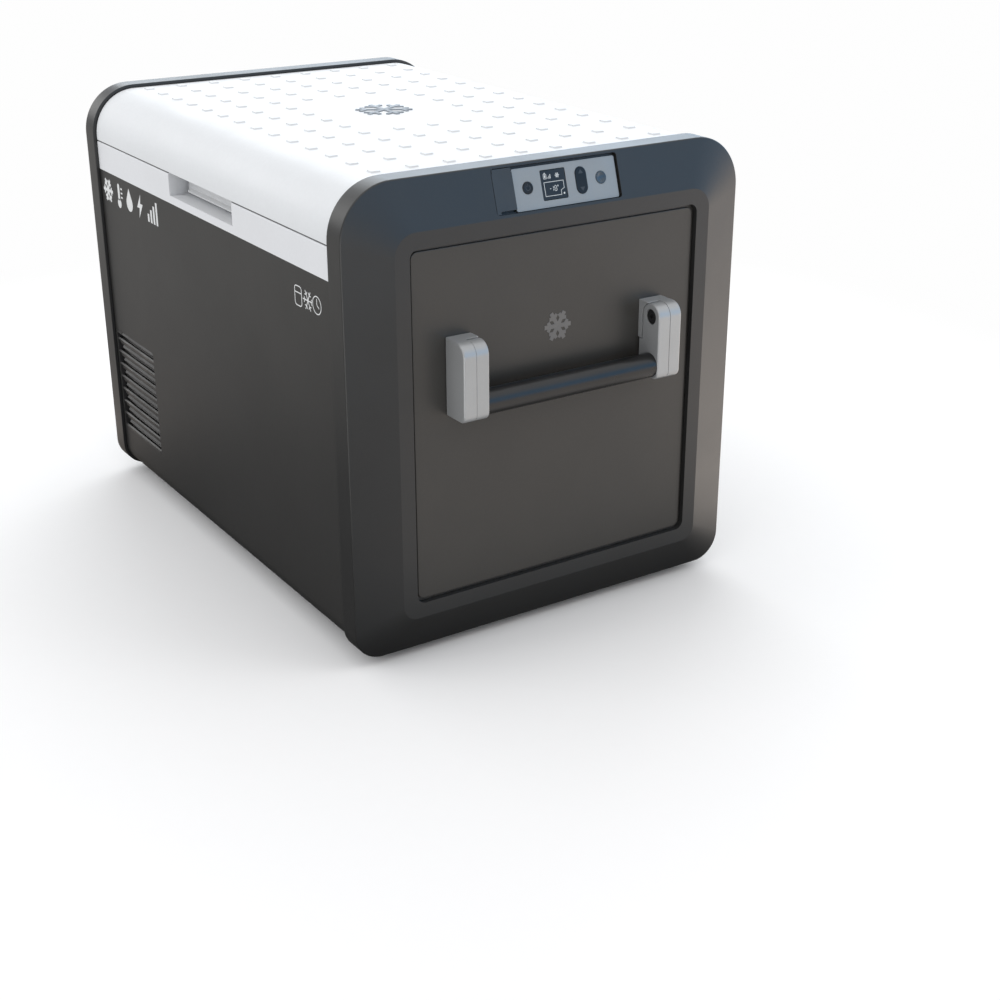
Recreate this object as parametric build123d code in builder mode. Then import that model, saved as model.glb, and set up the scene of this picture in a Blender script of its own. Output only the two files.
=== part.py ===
from build123d import *
import os
from math import cos, sin, radians

os.makedirs("parts", exist_ok=True)

# Portable compressor cooler, long axis along X, in millimetres.
# Front = +X end with the control panel, rear = -X end with the compressor compartment.
# Left = -Y side with the lid latch, right = +Y side with the lid hinges.
# Z = 0 is the plane the rubber feet stand on.

# ---------------------------------------------------------------------------
# Driving dimensions shared by several pieces
# ---------------------------------------------------------------------------
CUT = Mode.SUBTRACT

half_width = 227.5                        # end frame, half of the overall width
frame_low = 10.0                          # underside of the end frames
overall_top = 480.0                       # top of the end frames
band_front = 316.5                        # where the frame's band turns into the bevel
face_x, face_half = 331.0, 180.5          # flat end face of the frame
face_low, face_high = 48.5, 433.5
skin_inset = 4.0                          # lid, collar and side skins sit this far in
skin_half = half_width - skin_inset
skin_top = overall_top - skin_inset
skin_end = 300.0                          # half length of the side skins and base pan
floor_low = 14.1                          # underside of the base pan and side skins
floor_edge = 184.5                        # half width of the base pan

panel_back, panel_front = 324.0, 327.0    # end panels

lid_half_length = 291.0
lid_corner, lid_wall = 50.0, 3.0
collar_low, collar_high = 387.5, 420.2

running = 0.05                            # radial clearance of turning fits
hinge_axis = (223.0, 421.0)               # (y, z)
hinge_xs = (-170.0, 170.0)
hinge_pin_radius = 2.0

latch_half, latch_low, latch_back = 80.0, 396.0, -190.0   # recess in the collar
latch_axis = (-201.0, 428.5)              # (y, z)
latch_pin_radius = 2.5

liner_gap = 0.3                           # free space around the inner liner
liner_half_x, liner_half_y, liner_wall = 262.0, 163.0, 2.0
liner_out_x, liner_out_y = liner_half_x + liner_wall, liner_half_y + liner_wall
liner_corner = 18.0                       # outer corner radius
liner_flange = 4.0                        # width of the flange around the opening

bracket_screws_right = [(120.5, 266), (120.5, 322)]       # (y, z)
bracket_screws = bracket_screws_right + [(-y, z) for y, z in bracket_screws_right]
foot_places = [(250, 170), (250, -170), (-250, 170), (-250, -170)]
drain = (225.0, 0)                        # (x, y)
screw_radius, screw_head_radius = 2.5, 4.8
screw_socket_radius = 2.3                 # corner radius of the hexagon


# ---------------------------------------------------------------------------
# Helpers
# ---------------------------------------------------------------------------
def at_x(x):
    """Plane across X; its coordinates are (y, z) and it extrudes towards +X."""
    return Plane.YZ.offset(x)


def at_y(y):
    """Plane across Y; its coordinates are (x, z) and it extrudes towards -Y."""
    return Plane.XZ.offset(-y)


def at_z(z):
    """Plane across Z; its coordinates are (x, y) and it extrudes towards +Z."""
    return Plane.XY.offset(z)


def around(half, centre=0.0):
    """Span of the given half size about a centre."""
    return centre - half, centre + half


def cross_section(x, half, z_low, z_high, top_radius, low_radius=0.0):
    """Rectangle across the width of the cooler with rounded corners."""
    with BuildSketch(at_x(x)) as section:
        with Locations((0, (z_low + z_high) / 2)):
            Rectangle(2 * half, z_high - z_low)
        fillet(section.vertices().group_by(Axis.Y)[-1], top_radius)
        if low_radius > 0:
            fillet(section.vertices().group_by(Axis.Y)[0], low_radius)
    return section.sketch


def slab(plane, span_1, span_2, depth, radius=0.0, mode=Mode.ADD):
    """Extruded rectangle, given by its spans in the plane's own coordinates."""
    low_1, high_1 = sorted(span_1)
    low_2, high_2 = sorted(span_2)
    width, height = high_1 - low_1, high_2 - low_2
    with BuildSketch(plane) as outline:
        with Locations(((low_1 + high_1) / 2, (low_2 + high_2) / 2)):
            if radius > 0:
                RectangleRounded(width, height, radius)
            else:
                Rectangle(width, height)
    extrude(outline.sketch, amount=depth, mode=mode)


def rod(plane, radius, length, *centres, mode=Mode.ADD):
    """Extruded circle at each centre, in the plane's own coordinates."""
    with BuildSketch(plane) as outline:
        with Locations(*centres):
            Circle(radius)
    extrude(outline.sketch, amount=length, mode=mode)


def prism(x, length, outline, z=0.0, mode=Mode.ADD):
    """Closed outline of (y, height above z), extruded along +X from x."""
    with BuildSketch(at_x(x)) as section:
        with BuildLine():
            Polyline(*[(point_y, z + rise) for point_y, rise in outline], close=True)
        make_face()
    extrude(section.sketch, amount=length, mode=mode)


def start_plane(line):
    """Plane square to the start of a path, for the section swept along it."""
    return Plane(origin=line @ 0, z_dir=line % 0)


def bore_hinges(radius, half_length):
    """Cut a round bore along the hinge axis at both hinges."""
    for hinge_x in hinge_xs:
        rod(at_x(hinge_x - half_length), radius, 2 * half_length, hinge_axis, mode=CUT)


def add_to_four_corners(target, part):
    """Add a front right part, and its mirror images, to the open builder target."""
    add(part)
    mirror(part, about=Plane.XZ)
    mirror(target.part, about=Plane.YZ)


def save(name, builder):
    builder.part.label = name
    export_step(builder.part, f"parts/{name}.step")


def save_mirrored(name, original, plane):
    with BuildPart() as copy:
        mirror(original.part, about=plane)
    save(name, copy)
    return copy


# ---------------------------------------------------------------------------
# END FRAMES: band, wide bevel, flat rim and recess for the end panel
# ---------------------------------------------------------------------------
band_back = 292.0                         # inner edge of the band
band_top_radius, band_low_radius = 54.0, 30.0
hollow_low = frame_low + skin_inset
hollow_low_radius = 26.0
panel_half, panel_low, panel_high, panel_corner = 164.8, 64.3, 417.9, 8.7
panel_gap = 0.3                           # between the end panel and its recess

# plane on the middle of the upper front bevel: u = +Y, v = up the slope, w = outwards
bevel_normal = (overall_top - face_high, 0, face_x - band_front)
bevel_plane = Plane(origin=((band_front + face_x) / 2, 0, (overall_top + face_high) / 2),
                    x_dir=(0, 1, 0), z_dir=bevel_normal)


def bevel(offset):
    """Plane parallel to the upper front bevel, offset outwards."""
    return bevel_plane.offset(offset)


with BuildPart() as end_shell:
    extrude(cross_section(band_back, half_width, frame_low, overall_top,
                          band_top_radius, band_low_radius),
            amount=band_front - band_back)
    loft([cross_section(band_front, half_width, frame_low, overall_top,
                        band_top_radius, band_low_radius),
          cross_section(face_x, face_half, face_low, face_high, 22, 16)], ruled=True)
    fillet(end_shell.edges().filter_by_position(Axis.X, *around(0.1, band_front)), 1.8)
    fillet(end_shell.edges().filter_by_position(Axis.X, *around(0.1, face_x)), 1.5)
    # hollow behind the band and the bevel
    extrude(cross_section(band_back - 1, skin_half, hollow_low, skin_top,
                          lid_corner, hollow_low_radius),
            amount=22, mode=CUT)
    loft([cross_section(313, skin_half, hollow_low, skin_top, lid_corner, hollow_low_radius),
          cross_section(321, 197.6, 34.5, 450.4, 33, 18)], ruled=True, mode=CUT)
    # opening through the face, and the recess for the end panel
    slab(at_x(320), around(158), (71, 411), 12, 6, mode=CUT)
    slab(at_x(panel_back), around(panel_half + panel_gap),
         (panel_low - panel_gap, panel_high + panel_gap), 8, panel_corner + panel_gap, mode=CUT)

with BuildPart() as front_end_frame:
    add(end_shell.part)
    # window for the control unit in the upper bevel
    slab(bevel(-30), (-71, 72.2), around(21.5), 36, 3, mode=CUT)
save("front_end_frame", front_end_frame)
save_mirrored("rear_end_frame", end_shell, Plane.YZ)

field_rise = 2.0                          # raised field of the end panel
field_inset = 2.6                         # leaves a narrow groove along the frame
with BuildPart() as front_end_panel:
    slab(at_x(panel_back), around(panel_half), (panel_low, panel_high),
         panel_front - field_rise - panel_back, panel_corner)
    slab(at_x(panel_front - field_rise), around(panel_half - field_inset),
         (panel_low + field_inset, panel_high - 3.3), field_rise, 7.0)
    chamfer(front_end_panel.faces().sort_by(Axis.X)[-1].edges(), 0.6)
    # through holes for the handle bracket screws
    rod(at_x(panel_back - 1), 2.9, 6, *bracket_screws, mode=CUT)
save("front_end_panel", front_end_panel)

with BuildPart() as rear_end_panel:
    mirror(front_end_panel.part, about=Plane.YZ)
    # opening for the power inlet
    slab(at_x(-328), (60, 140), (78, 118), 6, 0.8, mode=CUT)
save("rear_end_panel", rear_end_panel)

# ---------------------------------------------------------------------------
# SIDE SKINS with their vent openings, and the louvred grilles
# ---------------------------------------------------------------------------
skirt_y, skirt_high, skirt_corner, skirt_wall = -223.4, 387.3, 25.9, 2.0
vent_x_low, vent_x_high = -290.0, -174.6
vent_z_low, vent_z_high = 66.0, 191.9
vent_width = vent_x_high - vent_x_low


def skirt(x, y_out, y_in, z_low, z_high, radius):
    """Rectangle on the left side with only its lower outer corner rounded."""
    with BuildSketch(at_x(x)) as section:
        with Locations(((y_out + y_in) / 2, (z_low + z_high) / 2)):
            Rectangle(abs(y_out - y_in), z_high - z_low)
        fillet(section.vertices().sort_by_distance((y_out, z_low, 0))[0], radius)
    return section.sketch


with BuildPart() as side_panel_left:
    extrude(skirt(-skin_end, skirt_y, -185, floor_low, skirt_high, skirt_corner),
            amount=2 * skin_end)
    # the hollow passes through the inner side, the top and both ends
    extrude(skirt(-skin_end - 1, skirt_y + skirt_wall, -180, floor_low + skirt_wall, 390,
                  skirt_corner - skirt_wall),
            amount=2 * skin_end + 2, mode=CUT)
    slab(at_y(-215), (vent_x_low, vent_x_high), (vent_z_low, vent_z_high), 12, 2, mode=CUT)
save("side_panel_left", side_panel_left)
save_mirrored("side_panel_right", side_panel_left, Plane.XZ)

slot_pitch, slot_count = 16.1, 8
first_slot_top = 188.3
slots_z = (first_slot_top - slot_pitch * (slot_count - 1) - 8.4, first_slot_top)
slot_x_low, slot_x_high = vent_x_low + 2.2, vent_x_high - 1.4
bar_x_low = vent_x_low + 1.5
lip_x_low = vent_x_low + 17.0             # the slot lips start here
insert_gap = 0.2                          # between the grille and the skin's opening

# outlines of (y, height above the top of the slot)
crease_outline = [(-221.7, 5), (-221.7, 3.2), (-223.4, 0.7), (-224.5, 0.7), (-224.5, 5)]
louvre_outline = [(-219.5, -9.0), (-222.0, -6.0), (-223.4, -7.4),
                  (-221.8, -13.3), (-219.5, -13.3)]
last_louvre_outline = [(-219.5, -9.0), (-222.0, -6.0), (-223.4, -7.4),
                       (-223.4, -9.3), (-219.5, -9.3)]
lip_outline = [(-219.5, -12.4), (-221.7, -12.9), (-223.4, -15.3),
               (-223.4, -16.1), (-219.5, -16.1)]
blade_outline = [(-216.8, -10.4), (-216.8, -8.8), (-211.2, -3.8), (-211.2, -5.4)]

with BuildPart() as vent_grille_left:
    # clip-in flange behind the skin, and the insert that fills the opening
    slab(at_y(-218.8), (vent_x_low - 4, vent_x_high + 4), (vent_z_low - 4, vent_z_high + 4),
         2.4, 3)
    slab(at_y(-220.8), (vent_x_low + insert_gap, vent_x_high - insert_gap),
         (vent_z_low + insert_gap, vent_z_high - insert_gap), 2.6, 1.8)
    # field of the slots; its outer part runs out through the +X edge
    slab(at_y(-218), (slot_x_low, slot_x_high), slots_z, 3.2, mode=CUT)
    slab(at_y(-221.2), (slot_x_low, vent_x_high + 1), slots_z, 4, mode=CUT)
    # ribs behind both ends of the slots, which carry the inner blades
    for rib_x in ((vent_x_low + 0.6, slot_x_low), (slot_x_high, vent_x_high + 0.2)):
        slab(at_y(-211), rib_x, (vent_z_low + 1, vent_z_high - 1), 9)
    # crease and lip above the first slot
    prism(lip_x_low, 200, crease_outline, first_slot_top, mode=CUT)
    for k in range(slot_count):
        slot_top = first_slot_top - slot_pitch * k
        if k == slot_count - 1:
            prism(bar_x_low, vent_width - 2.8, last_louvre_outline, slot_top)
        else:
            # louvre bar: short slope at its top, face that leans inwards down to a crease
            prism(bar_x_low, vent_width - 1.7, louvre_outline, slot_top)
            # raised lip over the next slot, shorter than the bar
            prism(lip_x_low, vent_x_high - insert_gap - lip_x_low, lip_outline, slot_top)
            # the slot below turns up at its -X end
            slab(at_y(-218.2), (slot_x_low, vent_x_low + 7.6),
                 (slot_top - 13.9, slot_top - 9.4), 6, mode=CUT)
        # inner blade: hides the inside, its inner edge is higher
        prism(bar_x_low, vent_x_high - 1.0 - bar_x_low, blade_outline, slot_top)
save("vent_grille_left", vent_grille_left)
save_mirrored("vent_grille_right", vent_grille_left, Plane.XZ)

# ---------------------------------------------------------------------------
# TOP COLLAR: rim under the lid, carries the latch recess and hinges
# ---------------------------------------------------------------------------
collar_half_length, collar_wall, collar_round = 291.8, 3.0, 2.4
knuckle_clearance = (5.2, 25.5)           # radius and half length of the hinge clearance

with BuildPart() as top_collar:
    slab(at_z(collar_low), around(collar_half_length), around(skin_half),
         collar_high - collar_low)
    slab(at_z(collar_low - 1), around(collar_half_length - collar_wall),
         around(skin_half - collar_wall), collar_high - collar_wall - collar_low + 1, mode=CUT)
    # walls of the latch recess, then the recess itself
    slab(at_z(latch_low - collar_wall), around(latch_half + collar_wall),
         (-skin_half, latch_back + collar_wall), collar_high - latch_low + collar_wall)
    slab(at_z(latch_low), around(latch_half), (-skin_half - 2, latch_back), 40, mode=CUT)
    # liner opening and the rebate for its flange
    for cut_low, cut_depth, margin in ((416, 6, liner_gap),
                                       (418.6, 4, liner_flange + liner_gap)):
        slab(at_z(cut_low), around(liner_out_x + margin), around(liner_out_y + margin),
             cut_depth, liner_corner + margin, mode=CUT)
    # catch ledge on the inner wall of the recess
    slab(at_x(-18), (-196, latch_back + 0.5), (408, 411), 36)
    bore_hinges(*knuckle_clearance)
    # rounded upper edge along both long sides
    with BuildSketch(at_x(-300)):
        edge_y = skin_half - collar_round / 2 + 0.5
        with Locations(*[(side * edge_y, collar_high - collar_round / 2 + 0.5)
                         for side in (-1, 1)]):
            Rectangle(collar_round + 1, collar_round + 1)
        with Locations(*[(side * (skin_half - collar_round), collar_high - collar_round)
                         for side in (-1, 1)]):
            Circle(collar_round, mode=CUT)
    extrude(amount=600, mode=CUT)
save("top_collar", top_collar)

# ---------------------------------------------------------------------------
# BASE PAN and rubber feet
# ---------------------------------------------------------------------------
pan_wall = 2.0
foot_high = 14.0

with BuildPart() as base_pan:
    slab(at_z(floor_low), around(skin_end), around(floor_edge), pan_wall)
    for end in (-1, 1):
        slab(at_z(floor_low), (end * (skin_end - pan_wall), end * skin_end),
             around(floor_edge), 16)
    rod(at_z(13), 2.9, 5, *foot_places, mode=CUT)
    rod(at_z(13), 6.6, 5, drain, mode=CUT)
save("base_pan", base_pan)

with BuildPart() as rubber_feet:
    with BuildSketch():
        with Locations(*foot_places):
            Circle(15.5)
    extrude(amount=foot_high, taper=-6)
    chamfer(rubber_feet.edges().filter_by_position(Axis.Z, -0.1, 0.1), 1.2)
    # pocket for the screw head, and the hole for its shank
    rod(at_z(0), 6.5, 8, *foot_places, mode=CUT)
    rod(at_z(7), 2.6, 8, *foot_places, mode=CUT)
save("rubber_feet", rubber_feet)

# ---------------------------------------------------------------------------
# LID: outer shell with tread pads, inner panel, foam, gasket, badge
# ---------------------------------------------------------------------------
lid_low = 421.4
pad_pitch_x, pad_pitch_y, pad_size, pad_high = 41.15, 40.4, 10.2, 1.4
pad_x_low = -272.5
pad_sink = 0.5                            # the pads start this far inside the shell
# grid of pads, without the field in the middle that holds the badge
pads = [(pad_x_low + pad_pitch_x * i, pad_pitch_y * j)
        for i in range(14) for j in range(-4, 5)
        if not (5 <= i <= 8 and -1 <= j <= 1)]
tray_x, tray_y, tray_corner, tray_wall = 255.0, 152.0, 18.0, 2.5   # inner panel's tray

with BuildPart() as lid_shell:
    extrude(cross_section(-lid_half_length, skin_half, lid_low, skin_top, lid_corner),
            amount=2 * lid_half_length)
    extrude(cross_section(-lid_half_length + lid_wall, skin_half - lid_wall, lid_low - 5,
                          skin_top - lid_wall, lid_corner - lid_wall),
            amount=2 * (lid_half_length - lid_wall), mode=CUT)
    with BuildSketch(at_z(skin_top - pad_sink)):
        with Locations(*pads):
            Rectangle(pad_size, pad_size)
    extrude(amount=pad_high + pad_sink, taper=25)
    bore_hinges(*knuckle_clearance)
save("lid_shell", lid_shell)

with BuildPart() as lid_liner:
    slab(at_z(425), around(lid_half_length - lid_wall - 0.3),
         around(skin_half - lid_wall - 0.3), 3)
    slab(at_z(405), around(tray_x), around(tray_y), 22, tray_corner)
    fillet(lid_liner.faces().sort_by(Axis.Z)[0].edges(), 5)
    slab(at_z(405 + tray_wall), around(tray_x - tray_wall), around(tray_y - tray_wall), 22,
         tray_corner - tray_wall, mode=CUT)
    slab(at_z(424), around(latch_half), (-222, latch_back), 6, mode=CUT)
    # lugs that hold the latch pin
    for side in (-1, 1):
        slab(at_z(424.2), (side * 75.6, side * 82), (-207, latch_back), 10)
    rod(at_x(-90), latch_pin_radius + running, 180, latch_axis, mode=CUT)
save("lid_liner", lid_liner)

foam_half_length = lid_half_length - lid_wall - 0.4
with BuildPart() as lid_foam:
    extrude(cross_section(-foam_half_length, skin_half - lid_wall - 0.4, 420,
                          skin_top - lid_wall - 0.3, lid_corner - lid_wall - 0.3),
            amount=2 * foam_half_length)
    slab(at_z(415), around(300), around(230), 13.2, mode=CUT)
    # block that fills the tray of the inner panel
    slab(at_z(407.9), around(tray_x - 3), around(tray_y - 3), 22, tray_corner - 3)
    # room for the latch
    slab(at_z(420), around(86), (-225, -186), 22, mode=CUT)
save("lid_foam", lid_foam)

with BuildPart() as lid_gasket:
    slab(at_z(420.5), around(283), around(180), 4.4, 26)
    fillet(lid_gasket.edges().filter_by_position(Axis.Z, 420.4, 420.6), 1.6)
    slab(at_z(420), around(271), around(168), 6, 16, mode=CUT)
save("lid_gasket", lid_gasket)

# six-armed snowflake in the field without pads
badge_x = -5.0
twig_start, twig_reach = 19.5, 5.2        # root radius, and root to twig centre
with BuildPart() as lid_badge:
    with BuildSketch(at_z(skin_top)):
        for angle in (0, 60, 120):
            with Locations((badge_x, 0)):
                Rectangle(62, 4.6, rotation=angle)
        for angle in range(0, 360, 60):
            for twig_angle in (angle - 60, angle + 60):
                twig_x = twig_start * cos(radians(angle)) + twig_reach * cos(radians(twig_angle))
                twig_y = twig_start * sin(radians(angle)) + twig_reach * sin(radians(twig_angle))
                with Locations((badge_x + twig_x, twig_y)):
                    Rectangle(13, 4.0, rotation=twig_angle)
    extrude(amount=1.2)
save("lid_badge", lid_badge)

# ---------------------------------------------------------------------------
# LID HINGES
# ---------------------------------------------------------------------------
leaf_plane = at_y(227.0)                  # outer face of the leaves
leaf_thick = 3.4
knuckle_radius = 4.5
hinge_bore = (hinge_pin_radius + running, 30)

with BuildPart() as hinge_body_leaves:
    for hinge_x in hinge_xs:
        slab(leaf_plane, around(25, hinge_x), (395, 416), leaf_thick, 2)
        slab(leaf_plane, around(8, hinge_x), (414, 421), leaf_thick)
        rod(at_x(hinge_x - 8), knuckle_radius, 16, hinge_axis)
    bore_hinges(*hinge_bore)
save("hinge_body_leaves", hinge_body_leaves)

knuckle_start, knuckle_end = 8.5, 24.0    # distances from the middle of the hinge
with BuildPart() as hinge_lid_leaves:
    for hinge_x in hinge_xs:
        slab(leaf_plane, around(24, hinge_x), (426.4, 433), leaf_thick, 1.5)
        for low, high in ((-knuckle_end, -knuckle_start), (knuckle_start, knuckle_end)):
            slab(leaf_plane, (hinge_x + low, hinge_x + high), (421, 430), leaf_thick)
            rod(at_x(hinge_x + low), knuckle_radius, high - low, hinge_axis)
    bore_hinges(*hinge_bore)
save("hinge_lid_leaves", hinge_lid_leaves)

with BuildPart() as hinge_pins:
    for hinge_x in hinge_xs:
        rod(at_x(hinge_x - 24.4), hinge_pin_radius, 48.8, hinge_axis)
    chamfer(hinge_pins.edges().filter_by(GeomType.CIRCLE), 0.4)
save("hinge_pins", hinge_pins)

# ---------------------------------------------------------------------------
# LATCH: pull lever hanging from the lid into the collar recess
# ---------------------------------------------------------------------------
lever_half = 75.0
latch_spring_length = 15.2

with BuildPart() as latch_lever:
    slab(at_y(-199), around(lever_half), (398.5, 424), 4, 2)
    slab(at_y(-199.2), around(lever_half), (418, latch_axis[1]), 3.6)
    rod(at_x(-lever_half), 4.2, 2 * lever_half, latch_axis)
    # finger lip along the lower edge, hook on the inner side
    prism(-70, 140, [(-202.5, 399), (-206.5, 399.6), (-206.5, 401), (-202.5, 404)])
    slab(at_x(-16), (-199.5, -196.5), (404, 407), 32)
    # gap for the spring
    slab(at_y(-190), around(10.5), (422.5, 440), 20, mode=CUT)
    rod(at_x(-80), latch_pin_radius + running, 160, latch_axis, mode=CUT)
save("latch_lever", latch_lever)

with BuildPart() as latch_pin:
    rod(at_x(-81.5), latch_pin_radius, 163, latch_axis)
    chamfer(latch_pin.edges().filter_by(GeomType.CIRCLE), 0.4)
save("latch_pin", latch_pin)

with BuildPart() as latch_spring:
    with BuildLine() as latch_coil:
        Helix(pitch=1.9, height=latch_spring_length, radius=3.9,
              center=(-latch_spring_length / 2, *latch_axis), direction=(1, 0, 0))
    with BuildSketch(start_plane(latch_coil.line)):
        Circle(0.6)
    sweep(is_frenet=True)
save("latch_spring", latch_spring)

# ---------------------------------------------------------------------------
# CARRYING HANDLES: fixed bracket, swinging arm and bar at each end
# ---------------------------------------------------------------------------
handle_x, handle_z = 346.5, 316.0         # pivot
pivot = (handle_x, handle_z)
pivot_radius = 4.0
handle_front, handle_low, handle_high = 360.0, 252.5, 329.5
arm_in, arm_out = 99.3, 113.2             # y of the arm's sides
cheek_in, cheek_out = 113.6, 127.3        # y of the bracket's cheek
arm_radius = 13.4                         # round head of the arm
arm_front, arm_foot_back, arm_foot_high = handle_x + arm_radius, 328.0, 289.8
arm_neck_low = 280.0
bar_radius = 12.5
bar_axis = (handle_x, 266.0)

with BuildPart() as front_handle_bracket_right:
    # fixed outer cheek
    with BuildSketch(at_y(cheek_out)) as cheek:
        with Locations(((panel_front + handle_front) / 2, (handle_low + handle_high) / 2)):
            Rectangle(handle_front - panel_front, handle_high - handle_low)
        for x, z, radius in ((handle_front, handle_high, 13.4),
                             (handle_front, handle_low, 8),
                             (panel_front, handle_low, 1.5)):
            fillet(cheek.vertices().sort_by_distance((x, z, 0))[0], radius)
    extrude(amount=cheek_out - cheek_in)
    # rounded outer rim, all but the edge that lies on the panel
    rim = [edge for edge in front_handle_bracket_right.faces().sort_by(Axis.Y)[-1].edges()
           if edge.center().X > panel_front + 0.5]
    fillet(rim, 1.8)
    # base plate between the panel and the arm
    slab(at_x(panel_front), (arm_in, cheek_in + 0.5), (290.5, handle_high), 5.4, 1)
    # its thicker upper part is hollowed to follow the round head of the arm
    with BuildSketch(at_y(cheek_in + 0.5)):
        with BuildLine():
            Polyline((panel_front, handle_z), (panel_front, handle_high),
                     (340.5, handle_high), (340.5, handle_z), close=True)
        make_face()
        with Locations(pivot):
            Circle(13.8, mode=CUT)
    extrude(amount=cheek_in + 0.5 - arm_in)
    rod(at_y(124), pivot_radius + running, 14, pivot, mode=CUT)
    rod(at_x(panel_front - 1), screw_radius + running, 10, *bracket_screws_right, mode=CUT)
save("front_handle_bracket_right", front_handle_bracket_right)

with BuildPart() as front_handle_arm_right:
    with BuildSketch(at_y(arm_out)) as arm:
        with Locations(pivot):
            Circle(arm_radius)
        with Locations((handle_x, (handle_z + arm_neck_low) / 2)):
            Rectangle(2 * arm_radius, handle_z - arm_neck_low)
        with Locations(((arm_foot_back + arm_front) / 2, (arm_foot_high + handle_low) / 2)):
            Rectangle(arm_front - arm_foot_back, arm_foot_high - handle_low)
        fillet(arm.vertices().sort_by_distance((arm_front, handle_low, 0))[0], 8)
        fillet(arm.vertices().sort_by_distance((arm_foot_back, handle_low, 0))[0], 1.5)
    extrude(amount=arm_out - arm_in)
    fillet(front_handle_arm_right.faces().sort_by(Axis.Y)[0].edges(), 1.6)
    # counterbored pivot hole, spring pocket, socket for the bar
    rod(at_y(104.1), 7.8, 6, pivot, mode=CUT)
    rod(at_y(114), pivot_radius + running, 20, pivot, mode=CUT)
    rod(at_y(114), 10.4, 6, pivot, mode=CUT)
    rod(at_y(107.4), bar_radius + running, 10, bar_axis, mode=CUT)
save("front_handle_arm_right", front_handle_arm_right)

with BuildPart() as front_handle_bar:
    rod(at_y(107.3), bar_radius, 214.6, bar_axis)
    rod(at_y(110), bar_radius - 2.5, 220, bar_axis, mode=CUT)
save("front_handle_bar", front_handle_bar)

for kind, front_right in (("bracket", front_handle_bracket_right),
                          ("arm", front_handle_arm_right)):
    front_left = save_mirrored(f"front_handle_{kind}_left", front_right, Plane.XZ)
    save_mirrored(f"rear_handle_{kind}_right", front_right, Plane.YZ)
    save_mirrored(f"rear_handle_{kind}_left", front_left, Plane.YZ)
save_mirrored("rear_handle_bar", front_handle_bar, Plane.YZ)

with BuildPart() as pivot_bolt:
    rod(at_y(104), 7.5, 3.7, pivot)
    chamfer(pivot_bolt.edges().sort_by(Axis.Y)[0], 0.6)
    rod(at_y(123.5), pivot_radius, 20, pivot)
    with BuildSketch(at_y(102.4)):
        with Locations(pivot):
            RegularPolygon(3.0, 6)
    extrude(amount=3, mode=CUT)

with BuildPart() as handle_pivot_bolts:
    add_to_four_corners(handle_pivot_bolts, pivot_bolt.part)
save("handle_pivot_bolts", handle_pivot_bolts)

with BuildPart() as torsion_spring:
    with BuildLine() as torsion_coil:
        Helix(pitch=1.5, height=3.0, radius=7.6, center=(handle_x, 109.4, handle_z),
              direction=(0, 1, 0))
    with BuildSketch(start_plane(torsion_coil.line)):
        Circle(0.6)
    sweep(is_frenet=True)

with BuildPart() as handle_springs:
    add_to_four_corners(handle_springs, torsion_spring.part)
save("handle_springs", handle_springs)

# socket screws of one size: four in the feet, eight behind the end panels
with BuildPart() as bracket_screw_pair:
    rod(at_x(320), screw_head_radius, 4, *bracket_screws_right)
    rod(at_x(323.5), screw_radius, 12.0, *bracket_screws_right)
    with BuildSketch(at_x(319)):
        with Locations(*bracket_screws_right):
            RegularPolygon(screw_socket_radius, 6)
    extrude(amount=3.5, mode=CUT)

with BuildPart() as case_screws:
    add_to_four_corners(case_screws, bracket_screw_pair.part)
    # foot screws: head around the socket, solid rest of the head, shank
    with BuildSketch(at_z(4)):
        with Locations(*foot_places):
            Circle(screw_head_radius)
            RegularPolygon(screw_socket_radius, 6, mode=CUT)
    extrude(amount=2.5)
    rod(at_z(6.5), screw_head_radius, 1.5, *foot_places)
    rod(at_z(8), screw_radius, 11.5, *foot_places)
save("case_screws", case_screws)

# ---------------------------------------------------------------------------
# CONTROL UNIT in the upper bevel of the front frame, in bevel coordinates (u, v, w)
# ---------------------------------------------------------------------------
power_u, rocker_u, set_u = -32.0, 29.0, 52.0
display_u_low, display_u_high = -16.5, 12.0
flap_start_u, flap_axis_v, flap_axis_w = -70.2, 18.6, -1.8
flap_pin_radius = 0.8
lug_v = (17.2, 19.6)
buttons_back = -5.6                       # w of the underside of the button flanges

# plane across the flap axis: its normal runs along +u
flap_plane = Plane(
    origin=bevel_plane.from_local_coords(Vector(flap_start_u, flap_axis_v, flap_axis_w)),
    x_dir=bevel_plane.y_dir, z_dir=(0, 1, 0))

with BuildPart() as control_housing:
    slab(bevel(-16), (-70.7, 71.9), around(21.2), 11.7, 2.7)
    slab(bevel(-14.5), (-69.2, 68.4), (-19.7, 18.3), 12, 1.5, mode=CUT)
    # posts for the circuit board
    rod(bevel(-14.7), 2.5, 3.1, (-42, 14), (-42, -14), (62, 14), (62, -14))
    # two lugs for the flap pin
    slab(bevel(-4.6), (-70.6, -69.7), lug_v, 3.7)
    slab(bevel(-14.6), (-48.8, -47.8), lug_v, 13.7)
    rod(flap_plane.offset(-1), flap_pin_radius + running, 26, (0, 0), mode=CUT)
save("control_housing", control_housing)

with BuildPart() as control_faceplate:
    slab(bevel(-4.2), (-47.5, 70.2), (-20.6, 18.8), 2, 2)
    with BuildSketch(bevel(-5)):
        with Locations((power_u, 0)):
            Circle(6.0)
        with Locations(((display_u_low + display_u_high) / 2, 0)):
            RectangleRounded(28.5, 28.5, 1.5)
        with Locations((rocker_u, 0)):
            SlotOverall(26, 13, rotation=90)
        with Locations((set_u, 0)):
            Circle(6.25)
    extrude(amount=4, mode=CUT)
save("control_faceplate", control_faceplate)

with BuildPart() as display_lens:
    slab(bevel(-4.8), (display_u_low + 0.3, display_u_high - 0.3), around(13.9), 2.3, 1.2)
    outer_face = display_lens.faces().sort_by(Axis((0, 0, 0), bevel_normal))[-1]
    chamfer(outer_face.edges(), 0.3)
save("display_lens", display_lens)

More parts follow.
